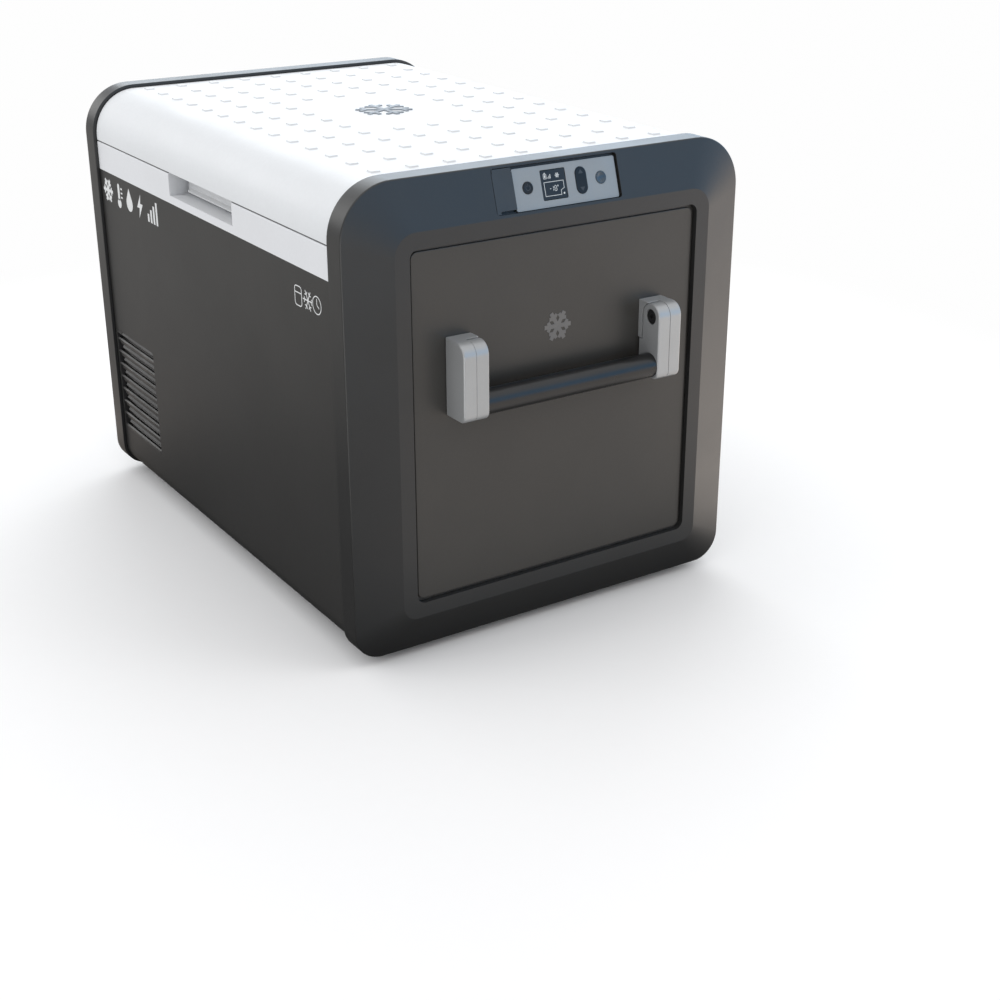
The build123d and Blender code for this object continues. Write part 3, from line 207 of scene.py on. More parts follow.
# arguments of surface() for each material
SURFACES = {
    "frame_plastic": dict(
        color=(0.0212, 0.0210, 0.0206), rough=0.38, mottle=(11, 0.05), grain=(1300, 0.30, 0.00010),
        peel=(420, 0.8), smudge=(7, 0.03), edge=(0.0010, 0.30, (0.11, 0.11, 0.11))),
    "panel_plastic": dict(
        color=(0.036, 0.0338, 0.0305), rough=0.35, mottle=(9, 0.06), grain=(1100, 0.30, 0.00010),
        peel=(380, 0.7), smudge=(6, 0.025), edge=(0.0008, 0.25, (0.11, 0.105, 0.10))),
    "skin_powder_coat": dict(
        color=(0.0290, 0.0282, 0.0270), rough=0.46, spec=0.45, mottle=(8, 0.05),
        grain=(900, 0.4, 0.00012), peel=(330, 0.9), smudge=(5, 0.02)),
    "grille_plastic": dict(
        color=(0.033, 0.032, 0.031), rough=0.42, mottle=(20, 0.06), grain=(1400, 0.30, 0.0001),
        edge=(0.0006, 0.45, (0.15, 0.15, 0.15))),
    "lid_plastic": dict(
        color=(0.715, 0.730, 0.745), rough=0.46, spec=0.16, mottle=(6, 0.018),
        grain=(1200, 0.30, 0.00010), peel=(420, 0.6), smudge=(8, 0.07)),
    "collar_plastic": dict(
        color=(0.72, 0.73, 0.75), rough=0.46, spec=0.25, mottle=(8, 0.02),
        grain=(1200, 0.30, 0.00010), peel=(420, 0.6), smudge=(8, 0.06)),
    "liner_plastic": dict(
        color=(0.74, 0.74, 0.73), rough=0.32, mottle=(7, 0.02), grain=(800, 0.12, 0.00008),
        smudge=(10, 0.08)),
    "latch_plastic": dict(
        color=(0.69, 0.70, 0.71), rough=0.40, mottle=(12, 0.03), grain=(1300, 0.30, 0.0001),
        edge=(0.0005, 0.2, (0.75, 0.75, 0.76))),
    "hinge_plastic": dict(
        color=(0.62, 0.63, 0.64), rough=0.40, mottle=(12, 0.03), grain=(1300, 0.30, 0.0001),
        edge=(0.0005, 0.2, (0.78, 0.78, 0.78))),
    "pan_powder_coat": dict(
        color=(0.028, 0.028, 0.028), rough=0.6, spec=0.4, mottle=(10, 0.15),
        grain=(700, 0.5, 0.00015), dust=0.25),
    "foot_rubber": dict(
        color=(0.022, 0.022, 0.022), rough=0.78, spec=0.35, mottle=(40, 0.2),
        grain=(900, 0.4, 0.00015), dust=0.15),
    "gasket_rubber": dict(
        color=(0.10, 0.10, 0.105), rough=0.70, spec=0.35, mottle=(30, 0.12),
        grain=(900, 0.35, 0.0001)),
    "insulation_foam": dict(
        color=(0.73, 0.70, 0.60), rough=0.9, spec=0.2, mottle=(30, 0.12), grain=(420, 0.8, 0.0004)),
    "badge_metal": dict(
        color=(0.27, 0.30, 0.335), rough=0.52, spec=0.25, mottle=(30, 0.06),
        grain=(2000, 0.1, 0.00005), brush=((40, 2600, 40), 0.8),
        edge=(0.0004, 0.5, (0.5, 0.52, 0.56))),
    "handle_cast_satin": dict(
        color=(0.385, 0.392, 0.396), rough=0.34, metallic=0.3, mottle=(18, 0.03),
        grain=(1700, 0.35, 0.00008), smudge=(24, 0.03), edge=(0.0007, 0.30, (0.60, 0.61, 0.62))),
    "bar_black_gloss": dict(
        color=(0.011, 0.0108, 0.0108), rough=0.29, mottle=(14, 0.2), grain=(700, 0.02, 0.00002),
        smudge=(16, 0.02)),
    "bolt_black_oxide": dict(
        color=(0.030, 0.030, 0.031), rough=0.42, metallic=0.6, mottle=(60, 0.2),
        grain=(1500, 0.3, 0.00006), edge=(0.0004, 0.5, (0.3, 0.3, 0.3))),
    "zinc_steel": dict(
        color=(0.56, 0.56, 0.55), rough=0.32, metallic=1.0, mottle=(60, 0.08),
        grain=(1600, 0.2, 0.00005), smudge=(50, 0.08)),
    "faceplate_satin": dict(
        color=(0.292, 0.294, 0.290), rough=0.40, metallic=0.35, mottle=(20, 0.03),
        grain=(2600, 0.25, 0.00005), brush=((60, 60, 60), 0.1), smudge=(26, 0.05),
        edge=(0.0003, 0.4, (0.6, 0.62, 0.65))),
    "display_glass": dict(
        color=(0.019, 0.019, 0.020), rough=0.16, spec=0.34, mottle=(40, 0.15),
        grain=(300, 0.02, 0.00004), smudge=(40, 0.05)),
    "board_solder_mask": dict(
        color=(0.02, 0.11, 0.045), rough=0.42, mottle=(220, 0.45), grain=(1500, 0.3, 0.0001)),
    "button_dark": dict(
        color=(0.008, 0.008, 0.009), rough=0.30, spec=0.32, mottle=(60, 0.12),
        grain=(2200, 0.3, 0.00006), edge=(0.0003, 0.35, (0.10, 0.10, 0.11))),
    "button_grey": dict(
        color=(0.046, 0.068, 0.092), rough=0.28, metallic=0.2, spec=0.45, mottle=(60, 0.06),
        grain=(2200, 0.3, 0.00006), edge=(0.0003, 0.4, (0.35, 0.37, 0.40))),
    "flap_plastic": dict(
        color=(0.027, 0.0275, 0.028), rough=0.42, spec=0.55, mottle=(24, 0.10),
        grain=(1500, 0.35, 0.0001), edge=(0.0004, 0.35, (0.13, 0.13, 0.135))),
    "port_black": dict(
        color=(0.016, 0.016, 0.017), rough=0.50, mottle=(60, 0.15), grain=(1500, 0.3, 0.0001)),
    "aluminium_tube": dict(
        color=(0.66, 0.66, 0.67), rough=0.34, metallic=1.0, mottle=(30, 0.08),
        grain=(900, 0.2, 0.00008)),
    "drain_hose": dict(
        color=(0.66, 0.66, 0.64), rough=0.42, mottle=(30, 0.05), grain=(900, 0.2, 0.00008)),
    "wire_coating": dict(
        color=(0.52, 0.53, 0.54), rough=0.33, mottle=(50, 0.05), grain=(500, 0.15, 0.00008),
        coat=0.3),
    "lamp_diffuser": dict(
        color=(0.86, 0.86, 0.84), rough=0.5, mottle=(60, 0.03), grain=(900, 0.3, 0.0001),
        emission=((1.0, 0.98, 0.92), 0.6)),
    "compressor_enamel": dict(
        color=(0.014, 0.014, 0.015), rough=0.24, spec=0.6, mottle=(30, 0.2),
        grain=(260, 0.12, 0.00012), dust=0.2),
    "condenser_fins": dict(
        color=(0.42, 0.42, 0.43), rough=0.42, metallic=0.9, mottle=(80, 0.15),
        grain=(900, 0.3, 0.0001), dust=0.2),
    "fan_plastic": dict(
        color=(0.020, 0.020, 0.021), rough=0.42, mottle=(30, 0.12), grain=(1200, 0.25, 0.0001),
        dust=0.12, edge=(0.0006, 0.3, (0.10, 0.10, 0.10))),
    "module_anodised": dict(
        color=(0.20, 0.20, 0.21), rough=0.40, metallic=0.8, mottle=(40, 0.08),
        grain=(1500, 0.3, 0.00008), edge=(0.0005, 0.4, (0.5, 0.5, 0.5))),
    "copper_tube": dict(
        color=(0.66, 0.31, 0.17), rough=0.30, metallic=1.0, mottle=(50, 0.22),
        grain=(900, 0.15, 0.00006), smudge=(30, 0.1)),
    "print_white": dict(
        color=(0.72, 0.73, 0.73), rough=0.48, mottle=(60, 0.04), grain=(1500, 0.2, 0.00005)),
    "print_grey": dict(
        color=(0.135, 0.132, 0.13), rough=0.42, mottle=(60, 0.06), grain=(1500, 0.2, 0.00005)),
    "icon_dim": dict(
        color=(0.034, 0.036, 0.039), rough=0.36, mottle=(90, 0.08), grain=(1500, 0.2, 0.00005)),
    "display_segments": dict(
        color=(0.43, 0.45, 0.46), rough=0.4, mottle=(900, 0.12), grain=(1500, 0.1, 0.00002),
        emission=((0.82, 0.90, 0.95), 0.22)),
}
materials = {name: surface(name, **values) for name, values in SURFACES.items()}

# --------------------------------------------------------------------------
# CAD pieces: materials and edges
# --------------------------------------------------------------------------
END_FRAMES = ["front_end_frame", "rear_end_frame"]
END_PANELS = ["front_end_panel", "rear_end_panel"]
SIDE_PANELS = ["side_panel_left", "side_panel_right"]
GRILLES = ["vent_grille_left", "vent_grille_right"]
HINGES = ["hinge_body_leaves", "hinge_lid_leaves"]
BARS = ["front_handle_bar", "rear_handle_bar"]
BRACKETS, ARMS = (
    [f"{end}_handle_{part}_{side}" for end in ("front", "rear") for side in ("left", "right")]
    for part in ("bracket", "arm"))

PIECES = {
    "frame_plastic": END_FRAMES,
    "panel_plastic": END_PANELS + ["power_inlet_cover"],
    "flap_plastic": ["usb_cover"],
    "port_black": ["usb_port", "power_inlet", "control_housing"],
    "skin_powder_coat": SIDE_PANELS,
    "grille_plastic": GRILLES,
    "collar_plastic": ["top_collar"],
    "lid_plastic": ["lid_shell"],
    "liner_plastic": ["lid_liner", "inner_liner"],
    "latch_plastic": ["latch_lever"],
    "hinge_plastic": HINGES,
    "pan_powder_coat": ["base_pan"],
    "foot_rubber": ["rubber_feet", "compressor_grommets", "drain_plug"],
    "gasket_rubber": ["lid_gasket"],
    "insulation_foam": ["lid_foam", "insulation_foam"],
    "badge_metal": ["lid_badge"],
    "handle_cast_satin": BRACKETS + ARMS,
    "bar_black_gloss": BARS,
    "bolt_black_oxide": ["handle_pivot_bolts"],
    "zinc_steel": ["hinge_pins", "latch_pin", "latch_spring", "handle_springs", "case_screws"],
    "faceplate_satin": ["control_faceplate"],
    "display_glass": ["display_lens"],
    "board_solder_mask": ["control_board"],
    "button_dark": ["power_button", "rocker_button"],
    "button_grey": ["set_button"],
    "aluminium_tube": ["evaporator_coil"],
    "drain_hose": ["drain_tube"],
    "wire_coating": ["wire_basket"],
    "lamp_diffuser": ["interior_lamp"],
    "compressor_enamel": ["compressor"],
    "condenser_fins": ["condenser"],
    "fan_plastic": ["fan_frame", "fan_rotor"],
    "module_anodised": ["controller_module"],
    "copper_tube": ["refrigerant_pipes"],
}

# width of the rounded edges (mm) and the pieces that have it
EDGE_WIDTHS = {
    0.8: ["top_collar"],
    0.7: END_FRAMES + ["lid_shell"],
    0.6: ["inner_liner"],
    0.5: HINGES + ["latch_lever", "lid_liner", "rocker_button", "fan_frame"],
    0.4: END_PANELS + ["base_pan", "controller_module"],
    0.35: GRILLES + BRACKETS + ARMS + ["usb_cover"],
    0.3: SIDE_PANELS + BARS + ["lid_badge", "power_inlet_cover", "power_inlet"],
    0.25: ["control_faceplate", "control_housing"],
    0.2: ["usb_port"],
}
edge_width = {name: width for width, names in EDGE_WIDTHS.items() for name in names}

# pieces whose large flat faces are merged first, so that their rounded edges shade cleanly
MERGED_FACES = (END_FRAMES + END_PANELS + SIDE_PANELS + BRACKETS + ARMS
                + ["control_faceplate", "usb_cover"])
WELD_DISTANCE = 2e-6
FLAT_ANGLE = math.radians(0.15)
EDGE_ANGLE = math.radians(34)


def assign_materials():
    missing = set(nodes) - {name for names in PIECES.values() for name in names}
    if missing:
        raise RuntimeError("no material for %s" % sorted(missing))
    for key, names in PIECES.items():
        for name in names:
            slots = nodes[name].data.materials
            if not slots:
                slots.append(materials[key])
            for i in range(len(slots)):
                slots[i] = materials[key]


def add_modifier(target, name, kind, **settings):
    modifier = target.modifiers.new(name, kind)
    for key, value in settings.items():
        setattr(modifier, key, value)


def ease_piece(name, piece):
    polygons = piece.data.polygons
    polygons.foreach_set("use_smooth", [True] * len(polygons))
    add_modifier(piece, "weld", "WELD", merge_threshold=WELD_DISTANCE)
    if name in MERGED_FACES:
        add_modifier(piece, "flat", "DECIMATE", decimate_type="DISSOLVE", angle_limit=FLAT_ANGLE)
    if name in edge_width:
        add_modifier(piece, "edges", "BEVEL", width=edge_width[name] * MM, segments=3,
                     limit_method="ANGLE", angle_limit=EDGE_ANGLE, use_clamp_overlap=True,
                     harden_normals=True, miter_outer="MITER_ARC")
        add_modifier(piece, "normals", "WEIGHTED_NORMAL", mode="FACE_AREA", weight=60,
                     keep_sharp=True)
    else:
        add_modifier(piece, "split", "EDGE_SPLIT", split_angle=EDGE_ANGLE)


assign_materials()
for name, piece in nodes.items():
    ease_piece(name, piece)

# --------------------------------------------------------------------------
# thin printed and applied shapes
# --------------------------------------------------------------------------
CORNER_STEPS = 5
UP = (0, 0, 1)


class Sheet:
    """Flat shapes in a plane (u, v), from `lift` to `lift + thickness` along its normal."""

    def __init__(self, origin, u, v, thickness, lift=0.0):
        self.origin = Vector(origin)
        self.u, self.v = Vector(u).normalized(), Vector(v).normalized()
        self.normal = self.u.cross(self.v).normalized()
        self.bottom, self.top = lift, lift + thickness
        self.bm = bmesh.new()

    def loop(self, outline, height):
        return [self.bm.verts.new(
            (self.origin + self.u * u + self.v * v + self.normal * height) * MM)
            for u, v in outline]

    def ring(self, outline, hole=None):
        """A solid of this outline; a hole has as many points as the outline."""
        face = self.bm.faces.new
        low, high = self.loop(outline, self.bottom), self.loop(outline, self.top)
        pairs = [(i, (i + 1) % len(outline)) for i in range(len(outline))]
        for i, j in pairs:
            face((low[i], low[j], high[j], high[i]))
        if hole is None:
            face(high)
            face(low[::-1])
            return
        hole_low, hole_high = self.loop(hole, self.bottom), self.loop(hole, self.top)
        for i, j in pairs:
            face((hole_low[j], hole_low[i], hole_high[i], hole_high[j]))
            face((high[i], high[j], hole_high[j], hole_high[i]))
            face((low[j], low[i], hole_low[i], hole_low[j]))

    def bar(self, u0, v0, u1, v1, width):
        """A straight stroke between two points."""
        along = Vector((u1 - u0, v1 - v0)).normalized()
        side = Vector((-along.y, along.x)) * (width / 2)
        self.ring([(u0 - side.x, v0 - side.y), (u1 - side.x, v1 - side.y),
                   (u1 + side.x, v1 + side.y), (u0 + side.x, v0 + side.y)])

    def done(self, name, material, body, slot, ease=0.0):
        bmesh.ops.recalc_face_normals(self.bm, faces=self.bm.faces[:])
        mesh = bpy.data.meshes.new(name)
        self.bm.to_mesh(mesh)
        self.bm.free()
        sheet = bpy.data.objects.new(name, mesh)
        bpy.context.scene.collection.objects.link(sheet)
        mesh.materials.append(materials[material])
        if ease:
            add_modifier(sheet, "ease", "BEVEL", width=ease * MM, segments=2,
                         limit_method="ANGLE", angle_limit=math.radians(40))
        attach(sheet, body)


def polar(u, v, radius, degrees):
    angle = math.radians(degrees)
    return u + radius * math.cos(angle), v + radius * math.sin(angle)


def circle(u, v, radius, count):
    return [polar(u, v, radius, 360.0 * i / count) for i in range(count)]


def arc(u, v, radius, start, end, count):
    """Points from one angle to the other, both included (degrees)."""
    return [polar(u, v, radius, start + (end - start) * i / (count - 1)) for i in range(count)]


def rounded(u, v, width, height, radius):
    points = []
    for sign_u, sign_v, start in ((1, 1, 0), (-1, 1, 90), (-1, -1, 180), (1, -1, 270)):
        points += arc(u + sign_u * (width / 2 - radius), v + sign_v * (height / 2 - radius),
                      radius, start, start + 90.0, CORNER_STEPS + 1)
    return points


def snowflake(u, v, radius, width, branch_at=0.56, branch_length=0.36):
    """One closed outline: six arms, each with a pair of side branches at 60 degrees.
    The branch place and length are fractions of the radius."""
    half = width / 2
    branch_half = width * 0.42
    cos60, sin60 = 0.5, math.sqrt(3) / 2
    root = branch_at * radius
    tip = branch_length * radius
    spread = branch_half / sin60
    shift = (half / sin60) * cos60
    upper = [
        (half * math.sqrt(3), half),
        (root - spread + shift, half),
        (root + tip * cos60 - branch_half * sin60, tip * sin60 + branch_half * cos60),
        (root + tip * cos60 + branch_half * sin60, tip * sin60 - branch_half * cos60),
        (root + spread + shift, half),
        (radius, half),
    ]
    arm = [(x, -y) for x, y in upper] + upper[:0:-1]
    points = []
    for k in range(6):
        angle = math.radians(60 * k)
        cos, sin = math.cos(angle), math.sin(angle)
        points += [(u + x * cos - y * sin, v + x * sin + y * cos) for x, y in arm]
    return points


# printed rows on the long sides: u runs to the right as seen from outside, from |x| = ROW_X
ROW_X, ROW_Y = 284.0, 223.4
PICTOGRAM_Z, LINE_SYMBOL_Z = 366.0, 359.0
PRINT = dict(thickness=0.12, lift=0.01)
# name, sign of y, u of the pictograms (rear end), u of the line symbols (front end)
ROWS = (("left", -1, 0.0, 496.0), ("right", 1, 404.0, 18.0))


def side_sheet(sign, z):
    return Sheet((sign * ROW_X, sign * ROW_Y, z), (-sign, 0, 0), UP, **PRINT)


def pictograms(name, sign, row):
    """Solid symbols: snowflake, thermometer, drop, lightning bolt, rising bars."""
    sheet = side_sheet(sign, PICTOGRAM_Z)
    sheet.ring(snowflake(row + 14, 0, 14.5, 3.6))

    stem = row + 48
    sheet.ring(circle(stem, -9.0, 5.4, 28))
    sheet.ring([(stem - 2.9, -5.4), (stem + 2.9, -5.4)] + arc(stem, 11.0, 2.9, 0, 180, 12))
    for k in range(3):
        sheet.bar(stem + 6.2, 9 - 5.0 * k, stem + 11.0, 9 - 5.0 * k, 1.9)

    drop = row + 80
    sheet.ring([(drop, 14.0)] + arc(drop, -3.2, 9.2, 152, 388, 26))

    bolt = row + 112
    sheet.ring([(bolt + 3.5, 14), (bolt - 8.5, -2.2), (bolt - 1.2, -2.2),
                (bolt - 4.2, -14), (bolt + 8.5, 3.2), (bolt + 1.2, 3.2)])

    for k in range(4):
        rising = row + 136 + 8.2 * k
        sheet.bar(rising, -12.5, rising, -3.5 + 5.6 * k, 4.6)
    sheet.done("pictograms_" + name, "print_white", "cabinet", "collar_plastic")


def line_symbols(name, sign, row):
    """Thin-line symbols: box with a line across it, snowflake, clock."""
    sheet = side_sheet(sign, LINE_SYMBOL_Z)
    sheet.ring(rounded(row + 9, 0, 15, 20, 4.0), rounded(row + 9, 0, 13, 18, 3.0))
    sheet.bar(row + 2.5, 3.2, row + 15.5, 3.2, 1.0)
    sheet.ring(snowflake(row + 29, 0, 10.5, 1.1, 0.58, 0.32))
    clock = row + 47
    sheet.ring(circle(clock, 0, 9.0, 40), circle(clock, 0, 8.0, 40))
    sheet.bar(clock, 0, clock, 6.2, 1.0)
    sheet.bar(clock + 0.4, 0, clock + 4.4, -2.4, 1.0)
    sheet.done("line_symbols_" + name, "print_white", "cabinet", "collar_plastic")


def end_emblem(name, sign, x=327.0, z=319.0):
    """Small snowflake on an end panel."""
    sheet = Sheet((sign * x, 0, z), (0, sign, 0), UP, thickness=0.35)
    sheet.ring(snowflake(0, 0, 15.5, 4.4, 0.55, 0.36))
    sheet.done("end_emblem_" + name, "print_grey", "cabinet", "frame_plastic", ease=0.12)


# dark strips under the -Y edge of the lid, on both sides of the latch recess: painted shade in the
# seam between lid and collar
SHADE_STRIP_INNER_X, SHADE_STRIP_OUTER_X = 80.6, 290.8
SHADE_STRIP_Y, SHADE_STRIP_Z, SHADE_STRIP_HEIGHT = -222.4, 419.95, 1.38


# painted shade: a dark rubber sheet that darkens the seam under the lid edge
def seam_shade_strip(name, start_x):
    length = SHADE_STRIP_OUTER_X - SHADE_STRIP_INNER_X
    sheet = Sheet((start_x, SHADE_STRIP_Y, SHADE_STRIP_Z), (1, 0, 0), UP, thickness=0.8)
    sheet.ring([(0, 0), (length, 0), (length, SHADE_STRIP_HEIGHT), (0, SHADE_STRIP_HEIGHT)])
    sheet.done("lid_seam_shade_strip_" + name, "gasket_rubber", "lid", "gasket_rubber", ease=0.15)


for name, sign, pictogram_u, line_symbol_u in ROWS:
    pictograms(name, sign, pictogram_u)
    line_symbols(name, sign, line_symbol_u)
end_emblem("front", 1)
end_emblem("rear", -1)
seam_shade_strip("rear", -SHADE_STRIP_OUTER_X)
seam_shade_strip("front", SHADE_STRIP_INNER_X)

# --------------------------------------------------------------------------
# control panel graphics, in the plane of the sloping bevel
# --------------------------------------------------------------------------
PANEL = dict(origin=(323.75, 0, 456.75), u=(0, 1, 0), v=(-0.29769, 0, 0.95467))
DISPLAY_U, POWER_U, ROCKER_U = -2.25, -32, 29.0
SEGMENTS = {"-": "g", "1": "bc", "8": "abcdefg"}
DIGIT_V, DIGIT_HEIGHT, DIGIT_STROKE = -6.2, 4.8, 0.55
# outline of a cooler with a step at its lower corner, (u from the display centre, v)
COOLER_OUTER = [(-11.2, -10.6), (7.4, -10.6), (7.4, -6.4), (11.2, -4.6), (11.2, 2.8), (-11.2, 2.8)]
COOLER_INNER = [(-10.7, -10.1), (6.9, -10.1), (6.9, -6.1), (10.7, -4.3), (10.7, 2.3), (-10.7, 2.3)]


def digit(sheet, character, u, width):
    """A seven-segment character whose strokes stop short of each other."""
    v, top, stroke = DIGIT_V, DIGIT_HEIGHT, DIGIT_STROKE
    middle, gap = top / 2, 0.62 * stroke
    lines = {"a": (0, top, width, top), "b": (width, top, width, middle),
             "c": (width, middle, width, 0), "d": (0, 0, width, 0), "e": (0, 0, 0, middle),
             "f": (0, middle, 0, top), "g": (0, middle, width, middle)}
    for key in SEGMENTS[character]:
        u0, v0, u1, v1 = lines[key]
        gap_u = gap * (u1 != u0)
        gap_v = gap * ((v1 > v0) - (v1 < v0))
        sheet.bar(u + u0 + gap_u, v + v0 + gap_v, u + u1 - gap_u, v + v1 - gap_v, stroke)


def display_symbols():
    sheet = Sheet(**PANEL, thickness=0.05, lift=-2.49)
    centre = DISPLAY_U
    sheet.ring(*([(centre + u, v) for u, v in line] for line in (COOLER_OUTER, COOLER_INNER)))
    for character, u, width in (("-", -5.4, 2.0), ("1", -3.6, 2.4), ("8", 0.2, 2.4)):
        digit(sheet, character, centre + u, width)
    sheet.ring(circle(centre + 4.2, -1.7, 0.75, 16), circle(centre + 4.2, -1.7, 0.40, 16))
    # battery, signal bars and snowflake on the top line
    battery = centre - 9.0
    sheet.ring(rounded(battery, 8.0, 3.6, 4.8, 0.7), rounded(battery, 8.0, 2.6, 3.8, 0.4))
    sheet.ring(rounded(battery, 8.0, 1.4, 2.6, 0.3))
    sheet.ring(rounded(battery, 11.0, 1.6, 0.7, 0.2))
    for k in range(3):
        signal = centre - 5.6 + 1.3 * k
        sheet.bar(signal, 5.7, signal, 7.1 + 1.3 * k, 0.7)
    sheet.ring(snowflake(centre + 4.8, 8.0, 2.5, 0.5))
    # dot at the lower corner
    sheet.ring(circle(centre + 10.3, -9.4, 0.95, 16))
    sheet.done("display_symbols", "display_segments", "cabinet", "display_glass")


def power_symbol():
    sheet = Sheet(**PANEL, thickness=0.24, lift=-1.84)
    outer, inner = (arc(POWER_U, 0, radius, 120, 420, 28) for radius in (2.75, 2.1))
    sheet.ring(outer + inner[::-1])
    sheet.bar(POWER_U, 0.7, POWER_U, 3.5, 0.65)
    sheet.done("power_symbol", "icon_dim", "power_button", "button_dark")


def rocker_arrows(half_width=2.7, base=6.4, tip=10.2):
    sheet = Sheet(**PANEL, thickness=0.12, lift=-1.60)
    left, right = ROCKER_U - half_width, ROCKER_U + half_width
    sheet.ring([(left, base), (right, base), (ROCKER_U, tip)])
    sheet.ring([(left, -base), (ROCKER_U, -tip), (right, -base)])
    sheet.done("rocker_arrows", "icon_dim", "rocker_button", "button_dark", ease=0.05)


display_symbols()
power_symbol()
rocker_arrows()

# --------------------------------------------------------------------------
# studio
# --------------------------------------------------------------------------
FOOTPRINT_X, FOOTPRINT_Y = 0.31, 0.20  # half sizes of the painted shadow under the cooler in the floor's glow
FLOOR_HALF, FLOOR_CELLS = 15, 24
WHITE = (0.99, 0.99, 0.99)


def reflected_floor(shader, x, y):
    """Colour that reflections see: dim on the latch side, bright and warm in front."""
    ramp, maths, mix = shader.ramp, shader.maths, shader.mix
    latch = ramp(y, between=(-0.06, -0.42))
    latch_far = ramp(maths("SUBTRACT", maths("MULTIPLY", x, -0.5), y), between=(0.50, 1.20))
    latch_edge = maths("MULTIPLY", ramp(x, between=(0.36, 0.52)), ramp(y, between=(-0.42, -0.68)))
    front = ramp(x, between=(0.30, 0.75))
    # the bright +Y part starts along a slanting line
    slant = maths("SUBTRACT", y, maths("MULTIPLY", maths("SUBTRACT", x, 0.33), 0.85))
    right = ramp(slant, between=(0.18, 0.36))
    right_far = ramp(y, between=(0.45, 1.2))
    color = mix(front, (0.80, 0.80, 0.80), (1.06, 0.97, 0.90))
    color = mix(right, color, mix(right_far, (2.5, 2.25, 2.05), (2.1, 1.90, 1.75)))
    color = mix(latch, color, mix(latch_far, (0.10, 0.10, 0.103), (0.56, 0.55, 0.535)))
    return mix(latch_edge, color, (2.3, 2.3, 2.25))


def floor_material():
    """Pale matt floor fading to white for the camera, glowing for every other ray."""
    material, shader, output = new_material("studio_floor")
    maths = shader.maths
    position = shader.geometry("Position")
    x, y, _ = shader.split(position)
    paths = shader.add("ShaderNodeLightPath").outputs

    def length(a, b):
        return maths("SQRT", maths("ADD", maths("MULTIPLY", a, a), maths("MULTIPLY", b, b)))

    def beyond(value, limit):
        return maths("MAXIMUM", maths("SUBTRACT", maths("ABSOLUTE", value), limit), 0.0)

    away = length(beyond(x, FOOTPRINT_X), beyond(y, FOOTPRINT_Y))
    # painted shadow: the glow that reflections and bounces see is darkened under and around the
    # cooler
    shade = shader.ramp(away, between=(0.0, 0.24), to=(0.10, 1.0))
    bounce = shader.mix(paths["Is Glossy Ray"], (0.84, 0.84, 0.84), reflected_floor(shader, x, y))
    glow = shader.mix(1.0, bounce, shade, blend="MULTIPLY")
    unseen = shader.add("ShaderNodeEmission", {0: glow}).outputs[0]

    speckle = shader.noise(position, scale=60.0)
    pale = shader.mix(speckle, (0.925, 0.925, 0.925), (0.935, 0.935, 0.935))
    matt = shader.add("ShaderNodeBsdfDiffuse", {0: pale}).outputs[0]
    far_white = shader.add("ShaderNodeEmission", {0: WHITE}).outputs[0]
    distance = maths("MAXIMUM", away, maths("SUBTRACT", length(x, y), 0.6))
    seen = shader.mix_shader(shader.ramp(distance, between=(0.28, 1.0)), matt, far_white)
    shader.feed(output, shader.mix_shader(paths["Is Camera Ray"], unseen, seen))
    set_cycles(material, "emission_sampling", "NONE")
    return material


def studio_floor():
    material = floor_material()
    bm = bmesh.new()
    steps = [-FLOOR_HALF + 2 * FLOOR_HALF * i / FLOOR_CELLS for i in range(FLOOR_CELLS + 1)]
    rows = [[bm.verts.new((x, y, 0.0)) for x in steps] for y in steps]
    for low, high in zip(rows, rows[1:]):
        for i in range(FLOOR_CELLS):
            bm.faces.new((low[i], low[i + 1], high[i + 1], high[i]))
    mesh = bpy.data.meshes.new("studio_floor")
    bm.to_mesh(mesh)
    bm.free()
    floor = bpy.data.objects.new("studio_floor", mesh)
    bpy.context.scene.collection.objects.link(floor)
    mesh.materials.append(material)


def studio_world():
    """White to the camera, even for soft light, with a darker or bluish horizon in reflections."""
    world = bpy.data.worlds.new("studio")
    bpy.context.scene.world = world
    world.use_nodes = True
    shader = Shader(world.node_tree)
    ray = shader.add("ShaderNodeTexCoord").outputs["Generated"]
    z = shader.split(ray)["Z"]
    # blue grows toward +Y and the front, where the horizon band also reaches higher
    side = shader.ramp(shader.dot(ray, (0.45, 0.89, 0.0)), between=(-0.6, 0.75))
    horizon = shader.mix(side, (0.26, 0.27, 0.29), (0.46, 0.96, 1.56))
    height = shader.maths("SUBTRACT", z, shader.maths("MULTIPLY", side, 0.22))
    sky = shader.mix(shader.ramp(height, between=(0.06, 0.50)), horizon, (1.12, 1.13, 1.15))
    even = shader.mix(shader.ramp(z, between=(0.0, 0.6)), (0.80, 0.82, 0.85), (1.03, 1.03, 1.04))
    paths = shader.add("ShaderNodeLightPath").outputs
    color = shader.mix(paths["Is Glossy Ray"], even, sky)
    color = shader.mix(paths["Is Camera Ray"], color, WHITE)
    background = world.node_tree.nodes["Background"]
    shader.feed(background.inputs[0], color)
    background.inputs[1].default_value = 1.0
    set_cycles(world, "sampling_method", "NONE")


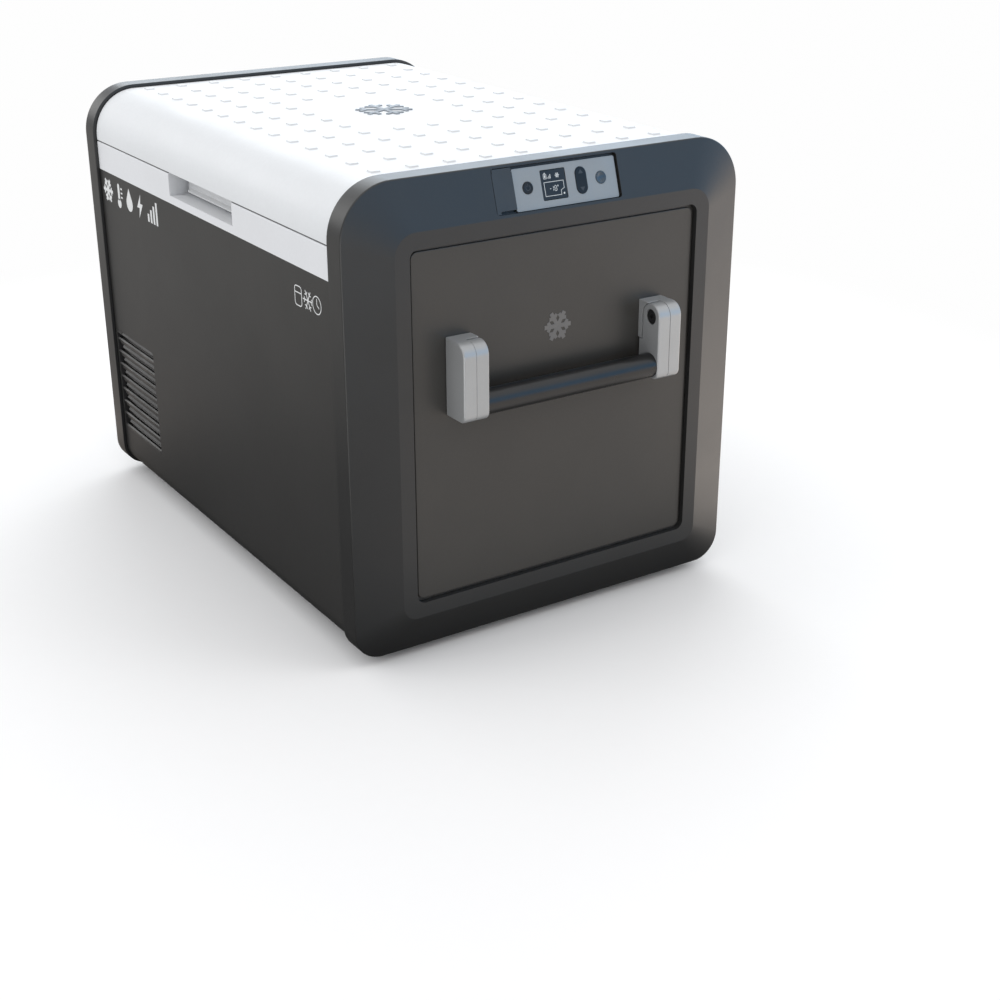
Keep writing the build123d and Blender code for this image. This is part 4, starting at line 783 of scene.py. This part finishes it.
def area(name, location, target, width, height, radiance, color=(1, 1, 1)):
    light = bpy.data.lights.new(name, "AREA")
    light.energy = radiance * math.pi * width * height
    light.color = color
    light.shape = "RECTANGLE"
    light.size = width
    light.size_y = height
    lamp = bpy.data.objects.new(name, light)
    bpy.context.scene.collection.objects.link(lamp)
    lamp.location = location
    aim = Vector(target) - Vector(location)
    lamp.rotation_euler = aim.to_track_quat("-Z", "Y").to_euler()
    return lamp


def studio_lights():
    area("rear_rim", location=(-2.3, 1.55, 1.62), target=(0.1, 0, 0.46),
         width=2.8, height=1.5, radiance=2.6, color=(0.92, 0.97, 1.0))
    # adds no diffuse light: it shows as a reflection in edges and sloping faces
    strip = area("left_strip", location=(-2.45, -1.55, 1.22), target=(-0.2, -0.22, 0.14),
                 width=2.2, height=1.0, radiance=1.7, color=(1.0, 0.99, 0.97))
    strip.visible_diffuse = False
    # soft lights that leave no reflection
    latch = area("latch_side", location=(-0.9, -2.5, 2.1), target=(0, -0.1, 0.3),
                 width=1.8, height=1.8, radiance=1.5)
    key = area("front_key", location=(1.9, 1.5, 1.9), target=(0.32, 0, 0.3),
               width=1.1, height=1.1, radiance=1.6)
    latch.visible_glossy = key.visible_glossy = False


CAMERA = dict(sensor_width=36.0, lens=58.47, shift_x=-0.00584, shift_y=-0.0009,
              clip_start=0.05, clip_end=50)
CAMERA_LOCATION = (1.5605, -0.8705, 0.7930)
CAMERA_AZIMUTH = math.radians(56.687)  # from -Y toward +X
CAMERA_ELEVATION = math.radians(23.537)


def studio_camera():
    data = bpy.data.cameras.new("camera")
    for key, value in CAMERA.items():
        setattr(data, key, value)
    camera = bpy.data.objects.new("camera", data)
    scene = bpy.context.scene
    scene.collection.objects.link(camera)
    level = math.cos(CAMERA_ELEVATION)
    back = Vector((math.sin(CAMERA_AZIMUTH) * level, -math.cos(CAMERA_AZIMUTH) * level,
                   math.sin(CAMERA_ELEVATION)))
    camera.location = CAMERA_LOCATION
    camera.rotation_mode = "QUATERNION"
    camera.rotation_quaternion = (-back).to_track_quat("-Z", "Y")
    scene.camera = camera
    scene.view_settings.view_transform = "Standard"
    scene.view_settings.look = "None"


studio_floor()
studio_world()
studio_lights()
studio_camera()
